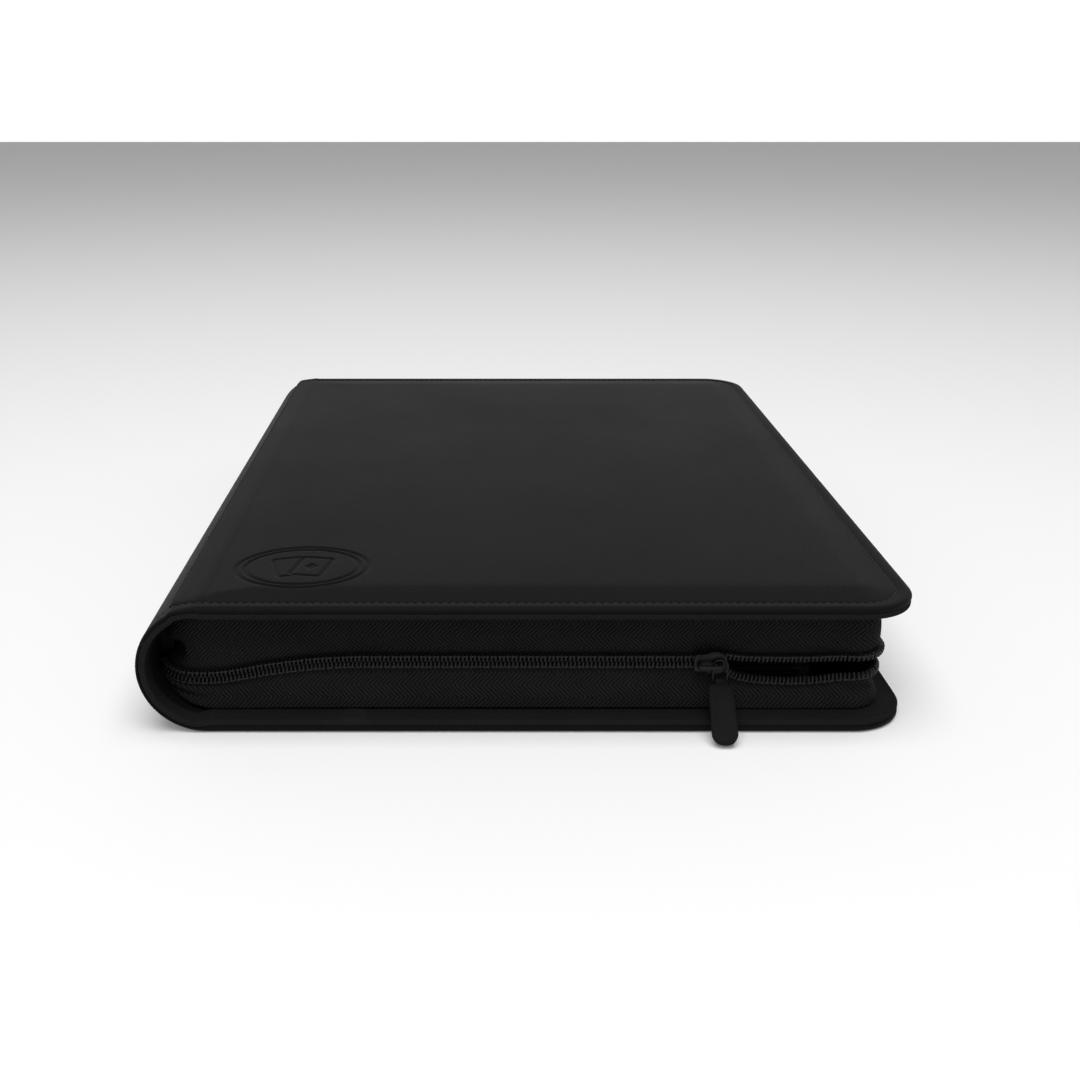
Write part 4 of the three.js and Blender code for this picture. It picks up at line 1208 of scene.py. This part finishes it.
def tab_half(t):
    """Half width of the tab at t below its pivot, with its shoulders and rounded end."""
    straight = np.interp(t, [1.2, 3.0, TAB_LENGTH], [4.35, 4.55, 4.7])
    top = np.clip((3.0 - t) / 1.8, 0, 1)
    end = np.clip((t - (TAB_LENGTH - TAB_END)) / TAB_END, 0, 1)
    return straight - 1.8 * (1 - np.sqrt(1 - top**2)) - TAB_END * (1 - np.sqrt(1 - end**2))


levels = np.concatenate([[1.22, 1.35, 1.6, 2.1, 3.0], np.linspace(4.2, 20.4, 19)])
levels = np.concatenate([levels, TAB_LENGTH - TAB_END * (1 - np.sin(np.linspace(0.1, 1.42, 9)))])
turns = np.arange(48) / 48 * 2 * math.pi
tab_rings = []
for t in levels:
    half = float(tab_half(t))
    fade = float(smooth((t - 1.15) / 0.9) * smooth((TAB_LENGTH - t + 0.02) / 0.9))
    thick = TAB_THICK / 2 * (0.55 + 0.45 * fade)
    x = half * np.sign(np.cos(turns)) * np.abs(np.cos(turns)) ** 0.34
    y = thick * np.sign(np.sin(turns)) * np.abs(np.sin(turns)) ** 0.34
    panel = smooth((half - 1.5 - np.abs(x)) / 0.5) * smooth((t - 4.4) / 0.6)
    panel = panel * smooth((TAB_LENGTH - 3.4 - t) / 0.6)
    y = y - np.sign(y) * RECESS * panel * (np.abs(y) > 0.7 * thick)
    tab_rings.append(np.stack([x, y, -t + 0 * x], -1))
blade = (np.array(tab_rings).reshape(-1, 3), ring_faces(len(levels), 48))
eye_turn = np.linspace(0, 2 * math.pi, 25)[:-1]
eye_rings = []
for x, outer in ((-1.8, 1.1), (-1.65, 1.3), (1.65, 1.3), (1.8, 1.1), (1.8, 0.62), (-1.8, 0.62)):
    eye_rings.append([(x, outer * math.cos(a), outer * math.sin(a)) for a in eye_turn])
eye = (np.array(eye_rings).reshape(-1, 3), ring_faces(6, 24, True))
neck_rings = []
for t, w in ((0.95, 0.75), (1.7, 1.0)):
    neck_rings.append([(x, y, -t) for x, y in ((-1.8, -w), (1.8, -w), (1.8, w), (-1.8, w))])
neck = (np.array(neck_rings).reshape(-1, 3), ring_faces(2, 4))
points, faces = merged([blade, eye, neck])
c, k = math.cos(TAB_TILT), math.sin(TAB_TILT)
y, z = points[:, 1] * c + points[:, 2] * k, -points[:, 1] * k + points[:, 2] * c
points = np.stack([points[:, 0], y, z], -1) + SWING + (0, 0, LOOP_BOTTOM)
made = piece("tab", points, faces, tab_rubber, sharp=55)
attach(made, "tab")
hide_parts("pull_tab")

# ---- Pocket leaves ---------------------------------------------------------------------------------
# Twenty leaves stand on the binding strip. Each is a black plastic sheet with clear film welded to
# both faces in nine card pockets, which open toward the spine.
LEAF_COUNT, LEAF_FIRST_Z, LEAF_STEP, LEAF_THICK = 20, 4.9, 39.3 / 19, 0.6
LEAF_RIGHT, LEAF_END, LEAF_CORNER, LEAF_BEVEL = 108.0, 152.0, 4.0, 0.08
STACK_LEFT, TURNING_LEFT, TURNING = -114.0, -129.995, (9, 10, 11, 12)
leaf_plastic = Finish("leaf_plastic", (0.007, 0.007, 0.0072), 0.5, specular=0.15)
pebble, leaf_shade = leaf_plastic.noise(0.7, 2), leaf_plastic.noise(30)
leaf_plastic.set("Base Color", leaf_plastic.mix(leaf_shade, (0.005, 0.005, 0.0052), (0.010, 0.010, 0.0103)))
leaf_plastic.set("Roughness", 0.36 + pebble * 0.16)
leaf_plastic.bump(pebble, 0.04)
pocket_film = Finish("pocket_film", (0.62, 0.64, 0.66), 0.16, specular=0.5)
cling, orange_peel = pocket_film.noise(14, 3), pocket_film.noise(2.5, 2)
pocket_film.set("Alpha", 0.05 + cling * 0.09)
pocket_film.set("Roughness", 0.1 + cling * 0.12)
pocket_film.bump(orange_peel, 0.03)


def leaf_outline(left, shrink):
    radius = LEAF_CORNER - shrink
    points = []
    for cx, cy, quarter in ((1, -1, 3), (1, 1, 0), (0, 1, 1), (0, -1, 2)):
        x = LEAF_RIGHT - LEAF_CORNER if cx else left + LEAF_CORNER
        for a in (quarter + np.linspace(0, 1, 6)) * math.pi / 2:
            y = cy * (LEAF_END - LEAF_CORNER)
            points.append((x + radius * math.cos(a), y + radius * math.sin(a)))
    return points


WELD_SECTION = [(-0.7, -0.05), (0.7, -0.05), (0.55, 0.06), (-0.55, 0.06)]


def pockets(left):
    """Films and their weld lines on both faces of a leaf, as closed thin pieces."""
    margin, weld, film = 8.0, 1.4, 0.07
    xs = np.linspace(left + margin + 2, LEAF_RIGHT - 2, 4)
    ys = np.linspace(-LEAF_END + 2, LEAF_END - 2, 4)
    u = np.linspace(0, 1, 7)
    made = []
    for face in (-1, 1):
        for i in range(3):
            for j in range(3):
                x = xs[i] + weld + (xs[i + 1] - xs[i] - 2 * weld) * u
                y = ys[j] + weld + (ys[j + 1] - ys[j] - 2 * weld) * u
                x, y = np.meshgrid(x, y, indexing="ij")
                dome = np.sin(math.pi * u)[:, None] * np.sin(math.pi * u)[None, :]
                level = face * (0.16 + 0.08 * dome**0.5)
                layers = [np.stack([x, y, level + face * d], -1) for d in (film, 0)]
                made.append((np.stack(layers).reshape(-1, 3), sheet_faces(7, 7)))
        for y in ys:
            made.append(tube([(xs[0], y, face * 0.2), (xs[3], y, face * 0.2)], WELD_SECTION))
        for x in xs[1:]:
            made.append(tube([(x, ys[0], face * 0.19), (x, ys[3], face * 0.19)], WELD_SECTION))
    return merged(made)


film_shapes = {left: pockets(left) for left in (STACK_LEFT, TURNING_LEFT)}
for number in range(1, LEAF_COUNT + 1):
    turning = number in TURNING
    left = TURNING_LEFT if turning else STACK_LEFT
    body = "turning_leaf_%02d" % number if turning else "back_cover" if number < 9 else "front_cover"
    middle = LEAF_FIRST_Z + (number - 1) * LEAF_STEP + LEAF_THICK / 2
    rings = []
    for z, shrink in ((-0.15, LEAF_BEVEL), (-0.08, 0), (0.08, 0), (0.15, LEAF_BEVEL)):
        rings += [(x, y, middle + z) for x, y in leaf_outline(left, shrink)]
    backing = piece("leaf_%02d_backing" % number, rings, ring_faces(4, 24), leaf_plastic)
    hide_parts("leaf_%02d" % number)
    points, faces = film_shapes[left]
    film = piece("leaf_%02d_pockets" % number, points + (0, 0, middle), faces, pocket_film)
    for made in (backing, film):
        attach(made, body)

# ---- Boards, foam and binding strip ----------------------------------------------------------------
# Grey pressed board stiffens the covers and the spine, foam pads them, and a folded strip of tape
# glued inside the spine holds the leaves. They show only where the case is open.
grey_board = Finish("grey_board", (0.16, 0.15, 0.13), 0.9, specular=0.2)
fibre, patch = grey_board.noise(1.1, 5, 0.7), grey_board.noise(22)
fibre_share = fibre * 0.7 + patch * 0.3
grey_board.set("Base Color", grey_board.mix(fibre_share, (0.09, 0.083, 0.07), (0.24, 0.225, 0.195)))
grey_board.set("Roughness", 0.84 + fibre * 0.12)
grey_board.bump(fibre, 0.06)
foam_sheet = Finish("foam_sheet", (0.05, 0.05, 0.052), 0.95, specular=0.1)
cells = foam_sheet.node(
    "ShaderNodeTexVoronoi",
    {"feature": "F1"},
    {"Vector": foam_sheet.node("ShaderNodeTexCoord", {}, {}, "Object"), "Scale": 1400},
)
foam_sheet.set("Base Color", foam_sheet.mix(cells, (0.07, 0.07, 0.072), (0.03, 0.03, 0.031)))
foam_sheet.set("Roughness", 0.98 - cells * 0.1)
foam_sheet.bump(cells, 0.12)
INSIDES = {
    "back_board": grey_board,
    "front_board": grey_board,
    "spine_board": grey_board,
    "back_foam": foam_sheet,
    "front_foam": foam_sheet,
    "lower_fold_foam": foam_sheet,
    "upper_fold_foam": foam_sheet,
    "page_binding": ribbed_tape,
}
for node in bpy.data.objects:
    if node.name in INSIDES:
        for material_slot in node.material_slots:
            material_slot.material = INSIDES[node.name].material
